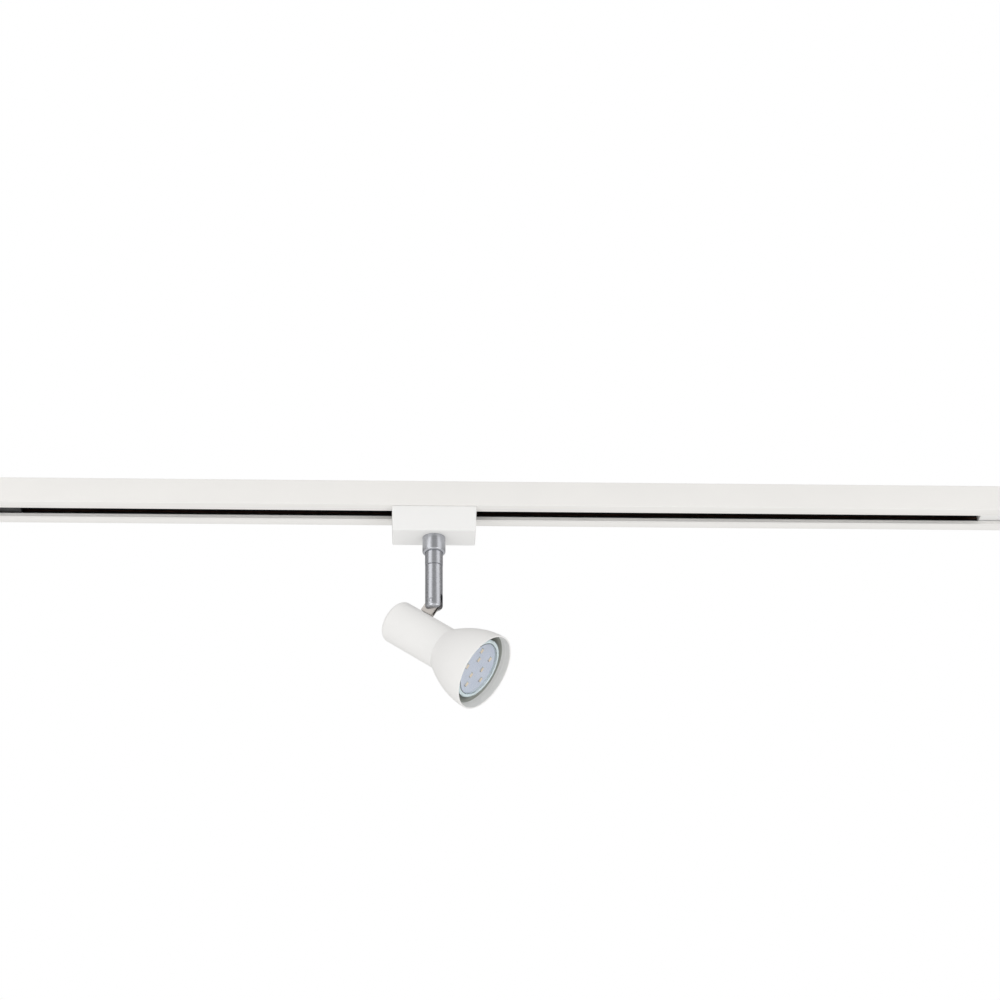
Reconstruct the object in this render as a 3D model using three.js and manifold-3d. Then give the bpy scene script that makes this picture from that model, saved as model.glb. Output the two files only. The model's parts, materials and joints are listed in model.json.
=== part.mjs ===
// Track spotlight: a ceiling track with its feed, a twist-lock adapter that slides along it,
// a swivel stem and a tilting lamp housing with a GU10 reflector lamp.
// Millimetres, +Z up. X runs along the track and Y across it. The origin is the middle of the
// face that the track is screwed to the ceiling with.

import * as THREE from 'three';
import { mergeVertices } from 'three/addons/utils/BufferGeometryUtils.js';
import { RoundedBoxGeometry } from 'three/addons/geometries/RoundedBoxGeometry.js';
import Module from 'manifold-3d';

const wasm = await Module();
wasm.setup();

// ---------- clearances ----------

const restGap = 0.2; // between two pieces that rest on each other
const turnGap = 0.3; // between two pieces that turn on each other
const slideGap = 0.5; // around what slides in the track
const screwGap = 0.15; // around a screw's shank
const past = 1; // how far a cutting tool runs past what it cuts
const deg = Math.PI / 180;

// ---------- driving dimensions ----------

// Track
const overallLength = 930;
const trackWidth = 37.5;
const trackHeight = 22.3;
const trackWall = 1.5;
const trackEdge = 0.6;
const slotWidth = 15.2;
const lipThickness = 1.6;
const lipFlangeHeight = 3.3;
const lipFlangeThickness = 1.2;
const beadWidth = 1.5;
const beadGroove = 0.5;
const beadGrooveDepth = 0.35;
const ceilingHoleRadius = 2.3;
const ceilingHoleInset = 120;
const linerWall = 4.0;
const linerCrown = 2.0;
const linerInset = 1; // from each end of the extrusion
const conductorInset = 2; // from each end of the insulator
const earthInset = 4; // from each ceiling hole to the earth strip
const conductorWidth = 1.8;
const conductorThickness = 1.2;
const conductorRise = 5.4; // above the top of the lips' flanges
const earthStripWidth = 5.0;
const earthStripThickness = 0.8;

// Feed and end cap
const feedLength = 82;
const feedProud = 0.8;
const feedWall = 1.8;
const feedEdge = 1.6;
const plugReach = 25;
const capThickness = 4;
const capTongue = 24;
const capEdge = 1.6;
const mainsHolePlace = 15; // from the feed's outer end
const mainsHoleRadius = 6.0;
const grommetWall = 1.6;
const grommetFlange = 1.4;
const feedScrewPlace = 61; // from the feed's outer end
const feedTerminalPlace = 27; // from the feed's outer end
const feedTerminalSize = [24, 24, 11];
const plugInside = 11; // of the plug, inside the feed's end wall

// Adapter
const spotPlace = -19;
const adapterLength = 69.3;
const adapterBottomLength = 68;
const adapterWidth = 34;
const adapterBottomWidth = 27.6;
const adapterHeight = 20.7;
const adapterWall = 1.8;
const adapterFloor = 2.0;
const adapterEdge = 1.1;
const lidThickness = 2.0;
const headFlangeThickness = 2.6;
const headFlangeOverlap = 2.2;
const wingHeight = 9.0;
const contactThickness = 0.9;
const contactLength = 8;
const terminalSize = [11, 16, 8.5];
const lidBossMargin = 1.7; // from a boss to the end wall

// Stem
const nippleRadius = 5.0;
const nippleBore = 3.5;
const nippleAboveFloor = 5.5;
const nippleReach = 9;
const nutHeight = 3.0;
const nutWall = 2.4;
const collarWall = 2.0;
const collarLength = 14.3;
const collarRounding = 1.8;
const upperStemRadius = 7.25;
const upperStemLength = 25.9;
const lowerStemRadius = 7.12;
const lowerStemLength = 38.5;
const jointChamfer = 0.4;
const stemEndRounding = 3.0;
const spigotRadius = 4.0;
const spigotLength = 10.6;
const spigotShoulder = 7.1;
const stemBore = 2.1;
const stopRingHeight = 1.4;
const circlipHeight = 0.8;
const stopPinRadius = 0.75;
const stopRingWall = 0.35;
const stopToothHalf = 0.5;
const circlipGapHalf = 1.2;
const leadRadius = 1.2;

// Tilt joint
const panRest = -21.7;
const tiltRest = 37.1;
const pivotInset = 5.5;
const forkSlotWidth = 5.0;
const forkClearance = 0.7; // over the lug's round top
const tiltPinRadius = 1.5;
const lugWidth = 11;
const lugCheek = 1.2;
const lugBase = 1.6;
const lugHeight = 10.55; // from the pivot to the housing's outside
const lugScrewSpacing = 7.6;
const lugScrewRadius = 1.0;

// Lamp housing
const housingWall = 1.2;
const rearReach = 21.0;
const neckReach = 33.5;
const bellLength = 41.8;
const rearFillet = 3.6;
const mouthMargin = 7.0; // from the lamp's rim to the outside of the bell's mouth

// Lampholder
const holderRadius = 12.5;
const holderSpace = 4.05; // from the holder to the inside of the housing
const holderFront = 21.3;
const holderBack = -7.8;
const bridgeThickness = 1.2;
const footThickness = 1.0;
const footHalfWidth = 3.5;
const holderScrewSpacing = 16;

// Lamp
const lampDiameter = 50;
const lampRecess = 6.3;
const lampLength = 54;
const pinCircleRadius = 5.0;
const pinShankRadius = 1.5;
const pinHeadRadius = 2.5;
const pinLength = 7.0;
const pinHeadHeight = 2.2;
const twistRoom = 20;
const lampBaseRadius = 11.6;
const lampBaseLength = 8.5;
const lampBaseChamfer = 0.8;
const pinChamfer = 0.4;
const shellOverBase = 0.6; // of the shell's back, beyond the base
const shellUnderRim = 0.5; // of the shell's front, inside the rim
const shellBulge = 0.72; // 1 is a plain cone
const shellWall = 1.2;
const shellSeatWidth = 4; // of the shell's back, over the base
const lensThickness = 1.6;
const lensRounding = 1;
const rimWidth = 2.8;
const rimDepth = 4.9;
const boardThickness = 1.4;
const boardInset = 3.0; // from the lens's face to the board's face
const chipLength = 3.5;
const chipWidth = 2.8;
const chipHeight = 0.7;
const outerChips = 5;
const outerChipRadius = 15.3;
const outerChipTurn = 70.6;
const innerChips = 3;
const innerChipRadius = 7.8;
const innerChipTurn = 14.7;

// ---------- levels and fits that follow from them ----------

const halfTrack = trackWidth / 2;
const slotHalf = slotWidth / 2;
const lipTop = -trackHeight + lipFlangeHeight;
const linerOut = halfTrack - trackWall - restGap;
const linerIn = linerOut - linerWall;
const linerTop = -trackWall - restGap;
const crownBottom = linerTop - linerCrown;
const conductorLevel = lipTop + conductorRise;
const earthBottom = crownBottom - earthStripThickness - restGap / 2;

const feedStart = -overallLength / 2;
const feedEnd = feedStart + feedLength;
const railStart = feedEnd + restGap;
const railEnd = overallLength / 2 - capThickness - restGap;

const adapterTop = -trackHeight - restGap;
const adapterBottom = adapterTop - adapterHeight;
const floorTop = adapterBottom + adapterFloor;
const lidTop = adapterTop - restGap;
const lidBottom = lidTop - lidThickness;
const neckRadius = slotHalf - slideGap;
const wingReach = linerIn - contactThickness - restGap;
const wingBottom = lipTop + turnGap;
const wingTop = wingBottom + wingHeight;

const upperStemTop = adapterBottom - restGap / 2;
const upperStemBottom = adapterBottom - upperStemLength;
const nippleTop = floorTop + nippleAboveFloor;
const nippleBottom = adapterBottom - nippleReach;
const lowerStemTop = upperStemBottom - turnGap;
const stemEnd = lowerStemTop - lowerStemLength;
const spigotTop = lowerStemTop + spigotLength;
const shoulderTop = lowerStemTop + spigotShoulder;
const upperBore = nippleRadius + restGap;
const pivotLevel = stemEnd + pivotInset;
const forkRoof = pivotLevel + lugWidth / 2 + forkClearance;

const housingInner = holderRadius + holderSpace;
const housingRadius = housingInner + housingWall;
const headDrop = housingRadius + lugHeight;
const mouthReach = neckReach + bellLength;
const mouthRadius = lampDiameter / 2 + mouthMargin;
const lugThickness = forkSlotWidth - 2 * turnGap;
const lugFoot = -lugHeight + turnGap;

const lampFace = mouthReach - lampRecess;
const pinTip = lampFace - lampLength;
const lampBack = pinTip + pinLength;
const lampBaseFront = lampBack + lampBaseLength;
const rimBack = lampFace - rimDepth;
const boardFace = lampFace - boardInset;

// ---------- finishes ----------

const finish = (color, roughness, metalness) =>
  new THREE.MeshStandardMaterial({ color, roughness, metalness });

const whiteCoat = () => finish(0xf1efec, 0.5, 0.0);
const whitePlastic = () => finish(0xf2f2f1, 0.42, 0.0);
const blackPlastic = () => finish(0x111214, 0.5, 0.0);
const satinChrome = () => finish(0xb9bcc1, 0.3, 1.0);
const nickel = () => finish(0xb0aaa2, 0.36, 1.0);
const zincSteel = () => finish(0xa9adb0, 0.4, 1.0);
const copper = () => finish(0xb87345, 0.35, 1.0);
const ceramic = () => finish(0xe9e6df, 0.6, 0.0);
const silicone = () => finish(0xd8d6d0, 0.7, 0.0);
const clearGlass = () => finish(0xcfe3ea, 0.08, 0.0);
const boardWhite = () => finish(0xc8d2de, 0.45, 0.0);
const phosphor = () => finish(0xebd2a2, 0.5, 0.0);

// ---------- solids ----------

// A closed mesh as a manifold solid, with its shared vertices merged.
function solidOf(geometry) {
  const bare = geometry.clone();
  bare.deleteAttribute('normal');
  bare.deleteAttribute('uv');
  const merged = mergeVertices(bare, 1e-4);
  const corners = merged.index.array;
  const triangles = [];
  for (let i = 0; i < corners.length; i += 3) {
    const [a, b, c] = [corners[i], corners[i + 1], corners[i + 2]];
    if (a !== b && b !== c && c !== a) triangles.push(a, b, c);
  }
  return new wasm.Manifold(new wasm.Mesh({
    numProp: 3,
    vertProperties: new Float32Array(merged.attributes.position.array),
    triVerts: new Uint32Array(triangles),
  }));
}

function geometryOf(solid) {
  const mesh = solid.getMesh();
  const geometry = new THREE.BufferGeometry();
  geometry.setAttribute('position', new THREE.BufferAttribute(mesh.vertProperties, 3));
  geometry.setIndex(new THREE.BufferAttribute(mesh.triVerts, 1));
  return geometry;
}

const cut = (body, tools) =>
  geometryOf(tools.reduce((rest, tool) => rest.subtract(solidOf(tool)), solidOf(body)));

const join = (pieces) =>
  geometryOf(pieces.slice(1).reduce((sum, piece) => sum.add(solidOf(piece)), solidOf(pieces[0])));

const common = (body, tool) => geometryOf(solidOf(body).intersect(solidOf(tool)));

// ---------- shapes ----------

function block(low, high) {
  const [dx, dy, dz] = low.map((value, i) => high[i] - value);
  const geometry = new THREE.BoxGeometry(dx, dy, dz);
  return geometry.translate(low[0] + dx / 2, low[1] + dy / 2, low[2] + dz / 2);
}

// A round rod or hole along one axis; at gives its place on the other two axes.
function rod(axis, radius, from, to, at = [0, 0], sides = 24) {
  const geometry = new THREE.CylinderGeometry(radius, radius, to - from, sides);
  const middle = (from + to) / 2;
  if (axis === 'x') return geometry.rotateZ(-Math.PI / 2).translate(middle, at[0], at[1]);
  if (axis === 'y') return geometry.translate(at[0], middle, at[1]);
  return geometry.rotateX(Math.PI / 2).translate(at[0], at[1], middle);
}

const outlineOf = (points) =>
  new THREE.Shape(points.map(([a, b]) => new THREE.Vector2(a, b)));

const mirrored = (points) => points.map(([y, z]) => [-y, z]).reverse();

// A Y-Z outline drawn out along X.
function alongX(points, from, to) {
  const geometry = new THREE.ExtrudeGeometry(outlineOf(points), {
    depth: to - from,
    bevelEnabled: false,
  });
  const basis = new THREE.Matrix4().makeBasis(
    new THREE.Vector3(0, 1, 0), new THREE.Vector3(0, 0, 1), new THREE.Vector3(1, 0, 0));
  return geometry.applyMatrix4(basis).translate(from, 0, 0);
}

// An X-Z outline drawn out along Y.
function alongY(points, from, to) {
  const geometry = new THREE.ExtrudeGeometry(outlineOf(points), {
    depth: to - from,
    bevelEnabled: false,
  });
  const basis = new THREE.Matrix4().makeBasis(
    new THREE.Vector3(1, 0, 0), new THREE.Vector3(0, 0, 1), new THREE.Vector3(0, -1, 0));
  return geometry.applyMatrix4(basis).translate(0, to, 0);
}

// A profile of [radius, height] points turned about the axis through the origin.
function turned(axis, profile, sides = 40) {
  const points = profile.map(([radius, height]) => new THREE.Vector2(Math.max(radius, 0), height));
  const area = THREE.ShapeUtils.area(points);
  if (area < 0) points.reverse();
  const geometry = new THREE.LatheGeometry(points, sides);
  return axis === 'x' ? geometry.rotateZ(-Math.PI / 2) : geometry.rotateX(Math.PI / 2);
}

// Points of an arc about a centre, its ends included.
function arc(centre, radius, fromAngle, toAngle, steps) {
  return Array.from({ length: steps + 1 }, (_, i) => {
    const angle = (fromAngle + ((toAngle - fromAngle) * i) / steps) * deg;
    return [centre[0] + radius * Math.cos(angle), centre[1] + radius * Math.sin(angle)];
  });
}

// A rounded box that narrows from its top to its bottom, cut flat at the top.
function taperedBox(top, bottom, topLevel, bottomLevel, edge) {
  const height = topLevel - bottomLevel;
  const raised = height + 2 * edge;
  const geometry = new RoundedBoxGeometry(top[0], top[1], raised, 2, edge);
  geometry.translate(0, 0, bottomLevel + raised / 2);
  const place = geometry.attributes.position;
  for (let i = 0; i < place.count; i += 1) {
    const share = (place.getZ(i) - bottomLevel) / height;
    place.setX(i, place.getX(i) * (bottom[0] + (top[0] - bottom[0]) * share) / top[0]);
    place.setY(i, place.getY(i) * (bottom[1] + (top[1] - bottom[1]) * share) / top[1]);
  }
  const lid = block([-top[0], -top[1], topLevel], [top[0], top[1], topLevel + 3 * edge]);
  return cut(geometry, [lid]);
}

// A round lead through the given points.
function lead(points, radius, steps) {
  const path = new THREE.CatmullRomCurve3(points.map((p) => new THREE.Vector3(...p)));
  const section = new THREE.Shape();
  section.absarc(0, 0, radius, 0, 2 * Math.PI);
  return new THREE.ExtrudeGeometry(section, {
    steps,
    curveSegments: 4,
    extrudePath: path,
    bevelEnabled: false,
  });
}

// A pan-head screw along an axis: its head's top is at zero and its shank runs up from it.
function screw(axis, headRadius, headHeight, shankRadius, length) {
  const crown = headHeight * 0.35;
  return turned(axis, [
    [0, 0],
    [headRadius - crown, 0],
    [headRadius, crown],
    [headRadius, headHeight],
    [shankRadius, headHeight],
    [shankRadius, headHeight + length - shankRadius / 2],
    [shankRadius / 2, headHeight + length],
    [0, headHeight + length],
  ], 14);
}

const spotlight = new THREE.Group();

function addPart(parent, name, geometry, material) {
  const mesh = new THREE.Mesh(geometry, material);
  mesh.name = name;
  parent.add(mesh);
  return mesh;
}

// ---------- track ----------

const railOutside = [
  [slotHalf, -trackHeight],
  [slotHalf + beadWidth, -trackHeight],
  [slotHalf + beadWidth, -trackHeight + beadGrooveDepth],
  [slotHalf + beadWidth + beadGroove, -trackHeight + beadGrooveDepth],
  [slotHalf + beadWidth + beadGroove, -trackHeight],
  [halfTrack - trackEdge, -trackHeight],
  [halfTrack, -trackHeight + trackEdge],
  [halfTrack, -trackEdge],
  [halfTrack - trackEdge, 0],
];
const flangeGrooveBottom = -trackHeight + beadWidth;
const railInside = [
  [halfTrack - trackWall, -trackWall],
  [halfTrack - trackWall, -trackHeight + lipThickness],
  [slotHalf + lipFlangeThickness, -trackHeight + lipThickness],
  [slotHalf + lipFlangeThickness, lipTop],
  [slotHalf, lipTop],
  [slotHalf, flangeGrooveBottom + beadGroove],
  [slotHalf + beadGrooveDepth, flangeGrooveBottom + beadGroove],
  [slotHalf + beadGrooveDepth, flangeGrooveBottom],
  [slotHalf, flangeGrooveBottom],
];
const railOutline = [
  ...railOutside, ...mirrored(railOutside), ...mirrored(railInside), ...railInside,
];
const ceilingHoles = (radius) => [railStart + ceilingHoleInset, railEnd - ceilingHoleInset]
  .map((x) => rod('z', radius, crownBottom - past, past, [x, 0], 20));

addPart(spotlight, 'track_extrusion',
  cut(alongX(railOutline, railStart, railEnd), ceilingHoles(ceilingHoleRadius)), whiteCoat());

const grooveHalf = conductorWidth / 2 + restGap;
const grooveBack = linerIn + conductorThickness + restGap;
const linerBottom = -trackHeight + lipThickness + restGap;
const linerOutside = [
  [linerIn, linerBottom],
  [linerOut, linerBottom],
  [linerOut, linerTop],
];
const linerInside = [
  [linerIn, crownBottom],
  [linerIn, conductorLevel + grooveHalf],
  [grooveBack, conductorLevel + grooveHalf],
  [grooveBack, conductorLevel - grooveHalf],
  [linerIn, conductorLevel - grooveHalf],
];
const linerOutline = [
  ...linerOutside, ...mirrored(linerOutside), ...mirrored(linerInside), ...linerInside,
];
const linerStart = railStart + linerInset;
const linerEnd = railEnd - linerInset;
const linerHoleRadius = ceilingHoleRadius + restGap;
addPart(spotlight, 'track_insulator',
  cut(alongX(linerOutline, linerStart, linerEnd), ceilingHoles(linerHoleRadius)), blackPlastic());

for (const [name, side] of [['live_conductor', 1], ['neutral_conductor', -1]]) {
  const inner = side * linerIn;
  const outer = side * (linerIn + conductorThickness);
  addPart(spotlight, name, block(
    [linerStart + conductorInset, Math.min(inner, outer), conductorLevel - conductorWidth / 2],
    [linerEnd - conductorInset, Math.max(inner, outer), conductorLevel + conductorWidth / 2],
  ), copper());
}

addPart(spotlight, 'earth_strip', block(
  [railStart + ceilingHoleInset + linerHoleRadius + earthInset, -earthStripWidth / 2, earthBottom],
  [railEnd - ceilingHoleInset - linerHoleRadius - earthInset, earthStripWidth / 2,
    earthBottom + earthStripThickness],
), copper());

// ---------- dead end cap ----------

const tongueHalf = linerIn - slideGap;
const tongueTop = earthBottom - slideGap;
const tongueBottom = lipTop + slideGap;
const capOuter = new RoundedBoxGeometry(
  2 * capThickness, trackWidth, trackHeight, 2, capEdge);
capOuter.translate(overallLength / 2 - capThickness, 0, -trackHeight / 2);
const capHalf = cut(capOuter, [
  block([0, -trackWidth, -2 * trackHeight], [railEnd + restGap, trackWidth, trackHeight]),
]);
const tongueOf = (from, to) =>
  block([from, -tongueHalf, tongueBottom], [to, tongueHalf, tongueTop]);
addPart(spotlight, 'dead_end_cap',
  join([capHalf, tongueOf(railEnd - capTongue, railEnd + capThickness / 2)]), whitePlastic());

// ---------- live end feed ----------

const feedHalf = halfTrack + feedProud;
const feedBottom = -trackHeight - feedProud;
const mainsHoleAt = [feedStart + mainsHolePlace, 0];
const feedScrewAt = [feedStart + feedScrewPlace, 0];
const feedBossRadius = 4;
const feedScrewRadius = 1.25;
const feedScrewLength = 9;
const feedCoverTop = feedBottom + feedWall;
const feedOuter = new RoundedBoxGeometry(
  feedLength, 2 * feedHalf, -feedBottom + 2 * feedEdge, 2, feedEdge);
feedOuter.translate(feedStart + feedLength / 2, 0, feedBottom / 2 + feedEdge);
const feedShell = cut(feedOuter, [
  block([feedStart - past, -feedHalf - past, 0], [feedEnd + past, feedHalf + past, 4 * feedEdge]),
  block([feedStart + feedWall, -feedHalf + feedWall, feedBottom - past],
    [feedEnd - feedWall, feedHalf - feedWall, -feedWall]),
  rod('z', mainsHoleRadius, -feedWall - past, past, mainsHoleAt, 32),
  block([feedEnd - feedWall - past, -linerIn, lipTop], [feedEnd + past, linerIn, earthBottom]),
]);
const feedBoss = cut(
  rod('z', feedBossRadius, feedCoverTop + restGap, -feedWall / 2, feedScrewAt),
  [rod('z', feedScrewRadius + screwGap, feedBottom, -feedWall * 2, feedScrewAt, 20)]);
addPart(spotlight, 'feed_housing', join([feedShell, feedBoss]), whitePlastic());

const feedHeadRadius = 3.1;
const feedHeadHeight = 0.9;
const feedCover = cut(
  block(
    [feedStart + feedWall + restGap, -feedHalf + feedWall + restGap, feedBottom],
    [feedEnd - feedWall - restGap, feedHalf - feedWall - restGap, feedCoverTop]),
  [
    rod('z', feedScrewRadius + screwGap, feedBottom - past, feedCoverTop + past, feedScrewAt, 20),
    rod('z', feedHeadRadius + screwGap, feedBottom - past, feedBottom + feedHeadHeight + restGap,
      feedScrewAt),
  ]);
addPart(spotlight, 'feed_cover', feedCover, whitePlastic());
addPart(spotlight, 'feed_cover_screw',
  screw('z', feedHeadRadius, feedHeadHeight, feedScrewRadius, feedScrewLength)
    .translate(feedScrewAt[0], feedScrewAt[1], feedBottom), zincSteel());

addPart(spotlight, 'feed_plug',
  tongueOf(feedEnd - feedWall - plugInside, railStart + plugReach), blackPlastic());

const feedTerminalStart = feedStart + feedTerminalPlace;
const feedTerminalTop = -feedWall - restGap;
const feedTerminalBottom = feedTerminalTop - feedTerminalSize[2];
const feedTerminalPitch = feedTerminalSize[1] / 3;
const terminalHoleDepth = 3;
const feedTerminal = block(
  [feedTerminalStart, -feedTerminalSize[1] / 2, feedTerminalBottom],
  [feedTerminalStart + feedTerminalSize[0], feedTerminalSize[1] / 2, feedTerminalTop]);
const feedTerminalHoles = [-1, 0, 1].map((side) => rod('z', 1.7,
  feedTerminalBottom - past, feedTerminalBottom + terminalHoleDepth,
  [feedTerminalStart + feedTerminalSize[0] / 2, side * feedTerminalPitch], 14));
addPart(spotlight, 'feed_terminal_block', cut(feedTerminal, feedTerminalHoles), ceramic());

const grommetRadius = mainsHoleRadius - restGap;
addPart(spotlight, 'mains_grommet', turned('z', [
  [grommetRadius - grommetWall, -restGap],
  [grommetRadius, -restGap],
  [grommetRadius, -feedWall - restGap],
  [grommetRadius + grommetWall, -feedWall - restGap],
  [grommetRadius + grommetWall, -feedWall - restGap - grommetFlange],
  [grommetRadius - grommetWall, -feedWall - restGap - grommetFlange],
  [grommetRadius - grommetWall, -restGap],
], 24).translate(mainsHoleAt[0], mainsHoleAt[1], 0), blackPlastic());

// ---------- adapter ----------

const adapter = new THREE.Group();
adapter.position.set(spotPlace, 0, 0);
spotlight.add(adapter);

const adapterOuter = taperedBox([adapterLength, adapterWidth],
  [adapterBottomLength, adapterBottomWidth], adapterTop, adapterBottom, adapterEdge);
// The adapter's outside length and width at a level, or those of its inside.
const adapterSizeAt = (level, inset) => {
  const share = (level - adapterBottom) / adapterHeight;
  return [
    adapterBottomLength + (adapterLength - adapterBottomLength) * share - 2 * inset,
    adapterBottomWidth + (adapterWidth - adapterBottomWidth) * share - 2 * inset,
  ];
};
const adapterHollow = taperedBox(adapterSizeAt(adapterTop + past, adapterWall),
  adapterSizeAt(floorTop, adapterWall), adapterTop + past, floorTop, adapterEdge);
const lidScrewRadius = 1.2;
const lidBossRadius = 3.0;
const lidScrewX = adapterBottomLength / 2 - adapterWall - lidBossRadius - lidBossMargin;
const lidScrewLength = 8;
const nippleHole = rod('z', nippleRadius + restGap, adapterBottom - past, floorTop + past,
  [0, 0], 32);
const lidBosses = [-1, 1].map((side) => cut(
  rod('z', lidBossRadius, floorTop - adapterFloor / 2, lidBottom - restGap, [side * lidScrewX, 0]),
  [rod('z', lidScrewRadius + screwGap, lidBottom - lidScrewLength - past, lidBottom + past,
    [side * lidScrewX, 0], 16)]));
addPart(adapter, 'adapter_housing',
  join([cut(adapterOuter, [adapterHollow, nippleHole]), ...lidBosses]), whitePlastic());

const lidHeadRadius = 2.3;
const lidHeadHeight = 1.2;
const lidInset = adapterWall + restGap;
const lidPlate = common(
  taperedBox(adapterSizeAt(adapterTop, lidInset), adapterSizeAt(floorTop, lidInset),
    adapterTop, floorTop, adapterEdge),
  block([-adapterLength, -adapterWidth, lidBottom], [adapterLength, adapterWidth, lidTop]));
const lidTools = [-1, 1].flatMap((side) => [
  rod('z', lidScrewRadius + screwGap, lidBottom - past, lidTop + past, [side * lidScrewX, 0], 16),
  rod('z', lidHeadRadius + screwGap, lidTop - lidHeadHeight - screwGap, lidTop + past,
    [side * lidScrewX, 0], 24),
]);
addPart(adapter, 'adapter_lid',
  cut(lidPlate, [...lidTools, rod('z', neckRadius + restGap, lidBottom - past, lidTop + past)]),
  whitePlastic());
[-1, 1].forEach((side, i) => addPart(adapter, `lid_screw_${i + 1}`,
  screw('z', lidHeadRadius, lidHeadHeight, lidScrewRadius, lidScrewLength)
    .rotateX(Math.PI).translate(side * lidScrewX, 0, lidTop), zincSteel()));

// The contact head turns with the adapter: its wings pass the slot lengthways and then lie
// across the lips.
const flangeTop = lidBottom - restGap;
const neckPost = turned('z', [
  [0, flangeTop - headFlangeThickness],
  [neckRadius + headFlangeOverlap, flangeTop - headFlangeThickness],
  [neckRadius + headFlangeOverlap, flangeTop],
  [neckRadius, flangeTop],
  [neckRadius, wingBottom + wingHeight / 2],
  [0, wingBottom + wingHeight / 2],
], 36);
const wingHalf = neckRadius - restGap / 2;
const wingBar = common(
  block([-wingHalf, -wingReach, wingBottom], [wingHalf, wingReach, wingTop]),
  rod('z', linerIn - restGap, wingBottom - past, wingTop + past, [0, 0], 48));
addPart(adapter, 'contact_head', join([neckPost, wingBar]), blackPlastic());

for (const [name, side] of [['live_contact', 1], ['neutral_contact', -1]]) {
  const inner = side * (wingReach + restGap / 2);
  const outer = side * (wingReach + restGap / 2 + contactThickness);
  addPart(adapter, name, block(
    [-contactLength / 2, Math.min(inner, outer), conductorLevel - conductorWidth / 2 + restGap],
    [contactLength / 2, Math.max(inner, outer), conductorLevel + conductorWidth / 2 - restGap],
  ), copper());
}

// A leaf spring arched from the head's top to the earth strip.
const springRise = earthBottom - restGap - wingTop - restGap;
const springThickness = 0.5;
const springInset = 1; // from the neck's and the strip's sides
const springHalf = neckRadius - springInset;
const springSteps = 8;
const springLine = Array.from({ length: springSteps + 1 }, (_, i) => {
  const share = i / springSteps;
  return [springHalf * (2 * share - 1), springRise * Math.sin(Math.PI * share)];
});
const springUnder = springLine.map(([x, z]) => [x, Math.max(z - springThickness, 0)]).reverse();
const springOutline = [
  [-springHalf, springThickness],
  ...springLine.slice(1, -1).map(([x, z]) => [x, Math.max(z, springThickness)]),
  [springHalf, springThickness],
  ...springUnder,
];
addPart(adapter, 'earth_contact',
  alongY(springOutline, -earthStripWidth / 2 + springInset, earthStripWidth / 2 - springInset)
    .translate(0, 0, wingTop + restGap), copper());

const terminalSpace = 3; // from the nut
const terminalStart = nippleRadius + nutWall + terminalSpace;
const terminalTop = floorTop + restGap + terminalSize[2];
const terminalBlock = block(
  [terminalStart, -terminalSize[1] / 2, floorTop + restGap],
  [terminalStart + terminalSize[0], terminalSize[1] / 2, terminalTop]);
const terminalHoles = [-1, 0, 1].map((side) => rod('z', 1.4,
  terminalTop - terminalHoleDepth, terminalTop + past,
  [terminalStart + terminalSize[0] / 2, side * terminalSize[1] / 3], 14));
addPart(adapter, 'adapter_terminal_block', cut(terminalBlock, terminalHoles), ceramic());

// ---------- stem, fixed half ----------

addPart(adapter, 'threaded_nipple', turned('z', [
  [nippleBore, nippleBottom],
  [nippleRadius, nippleBottom],
  [nippleRadius, nippleTop],
  [nippleBore, nippleTop],
  [nippleBore, nippleBottom],
], 24), zincSteel());

const washerHeight = 0.8;
const nutCorner = 0.6; // of the hexagon's corners, past the nut's wall
const washerBottom = floorTop + restGap / 2;
const nutBottom = washerBottom + washerHeight + restGap / 2;
addPart(adapter, 'nipple_washer', turned('z', [
  [nippleRadius + screwGap, washerBottom],
  [nippleRadius + nutWall, washerBottom],
  [nippleRadius + nutWall, washerBottom + washerHeight],
  [nippleRadius + screwGap, washerBottom + washerHeight],
  [nippleRadius + screwGap, washerBottom],
], 24), zincSteel());
addPart(adapter, 'nipple_nut', cut(
  rod('z', nippleRadius + nutWall + nutCorner, nutBottom, nutBottom + nutHeight, [0, 0], 6),
  [rod('z', nippleRadius + screwGap, nutBottom - past, nutBottom + nutHeight + past)],
), zincSteel());

const collarBore = upperStemRadius + screwGap;
const collarRadius = collarBore + collarWall;
const collarBottom = adapterBottom - collarLength;
addPart(adapter, 'stem_collar', turned('z', [
  [collarBore, collarBottom],
  ...arc([collarRadius - collarRounding, collarBottom + collarRounding],
    collarRounding, -90, 0, 4),
  [collarRadius, upperStemTop],
  [collarBore, upperStemTop],
  [collarBore, collarBottom],
], 40), satinChrome());

const spigotBore = spigotRadius + turnGap;
const boreStep = shoulderTop - restGap;
const stopPinLevel = shoulderTop + restGap + stopRingHeight / 2;
const upperStem = turned('z', [
  [spigotBore, upperStemBottom],
  [upperStemRadius - jointChamfer, upperStemBottom],
  [upperStemRadius, upperStemBottom + jointChamfer],
  [upperStemRadius, upperStemTop],
  [upperBore, upperStemTop],
  [upperBore, boreStep],
  [spigotBore, boreStep],
  [spigotBore, upperStemBottom],
], 40);
const stopPinHole = rod('x', stopPinRadius + restGap / 2, -upperStemRadius - past, -spigotBore,
  [0, stopPinLevel], 14);
addPart(adapter, 'upper_stem', cut(upperStem, [stopPinHole]), satinChrome());

const toothReach = upperBore - turnGap;
const ringBore = spigotRadius + restGap / 2;
const ringReach = ringBore + stopRingWall;
addPart(adapter, 'pan_stop_pin', rod('x', stopPinRadius, -upperStemRadius + restGap / 2,
  -ringReach - turnGap / 2, [0, stopPinLevel], 14), zincSteel());

addPart(adapter, 'adapter_lead', lead([
  [terminalStart - restGap, 0, nippleTop + 1],
  [terminalStart - restGap - 1, 0, nippleTop + 1.02],
  [terminalStart - 3.5, 0, nippleTop + 1.8],
  [3.2, 0, nippleTop + 2.4],
  [0.5, 0, nippleTop],
  [0, 0, nippleTop - 5],
  [0, 0, spigotTop + 4],
], leadRadius, 14), silicone());

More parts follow.
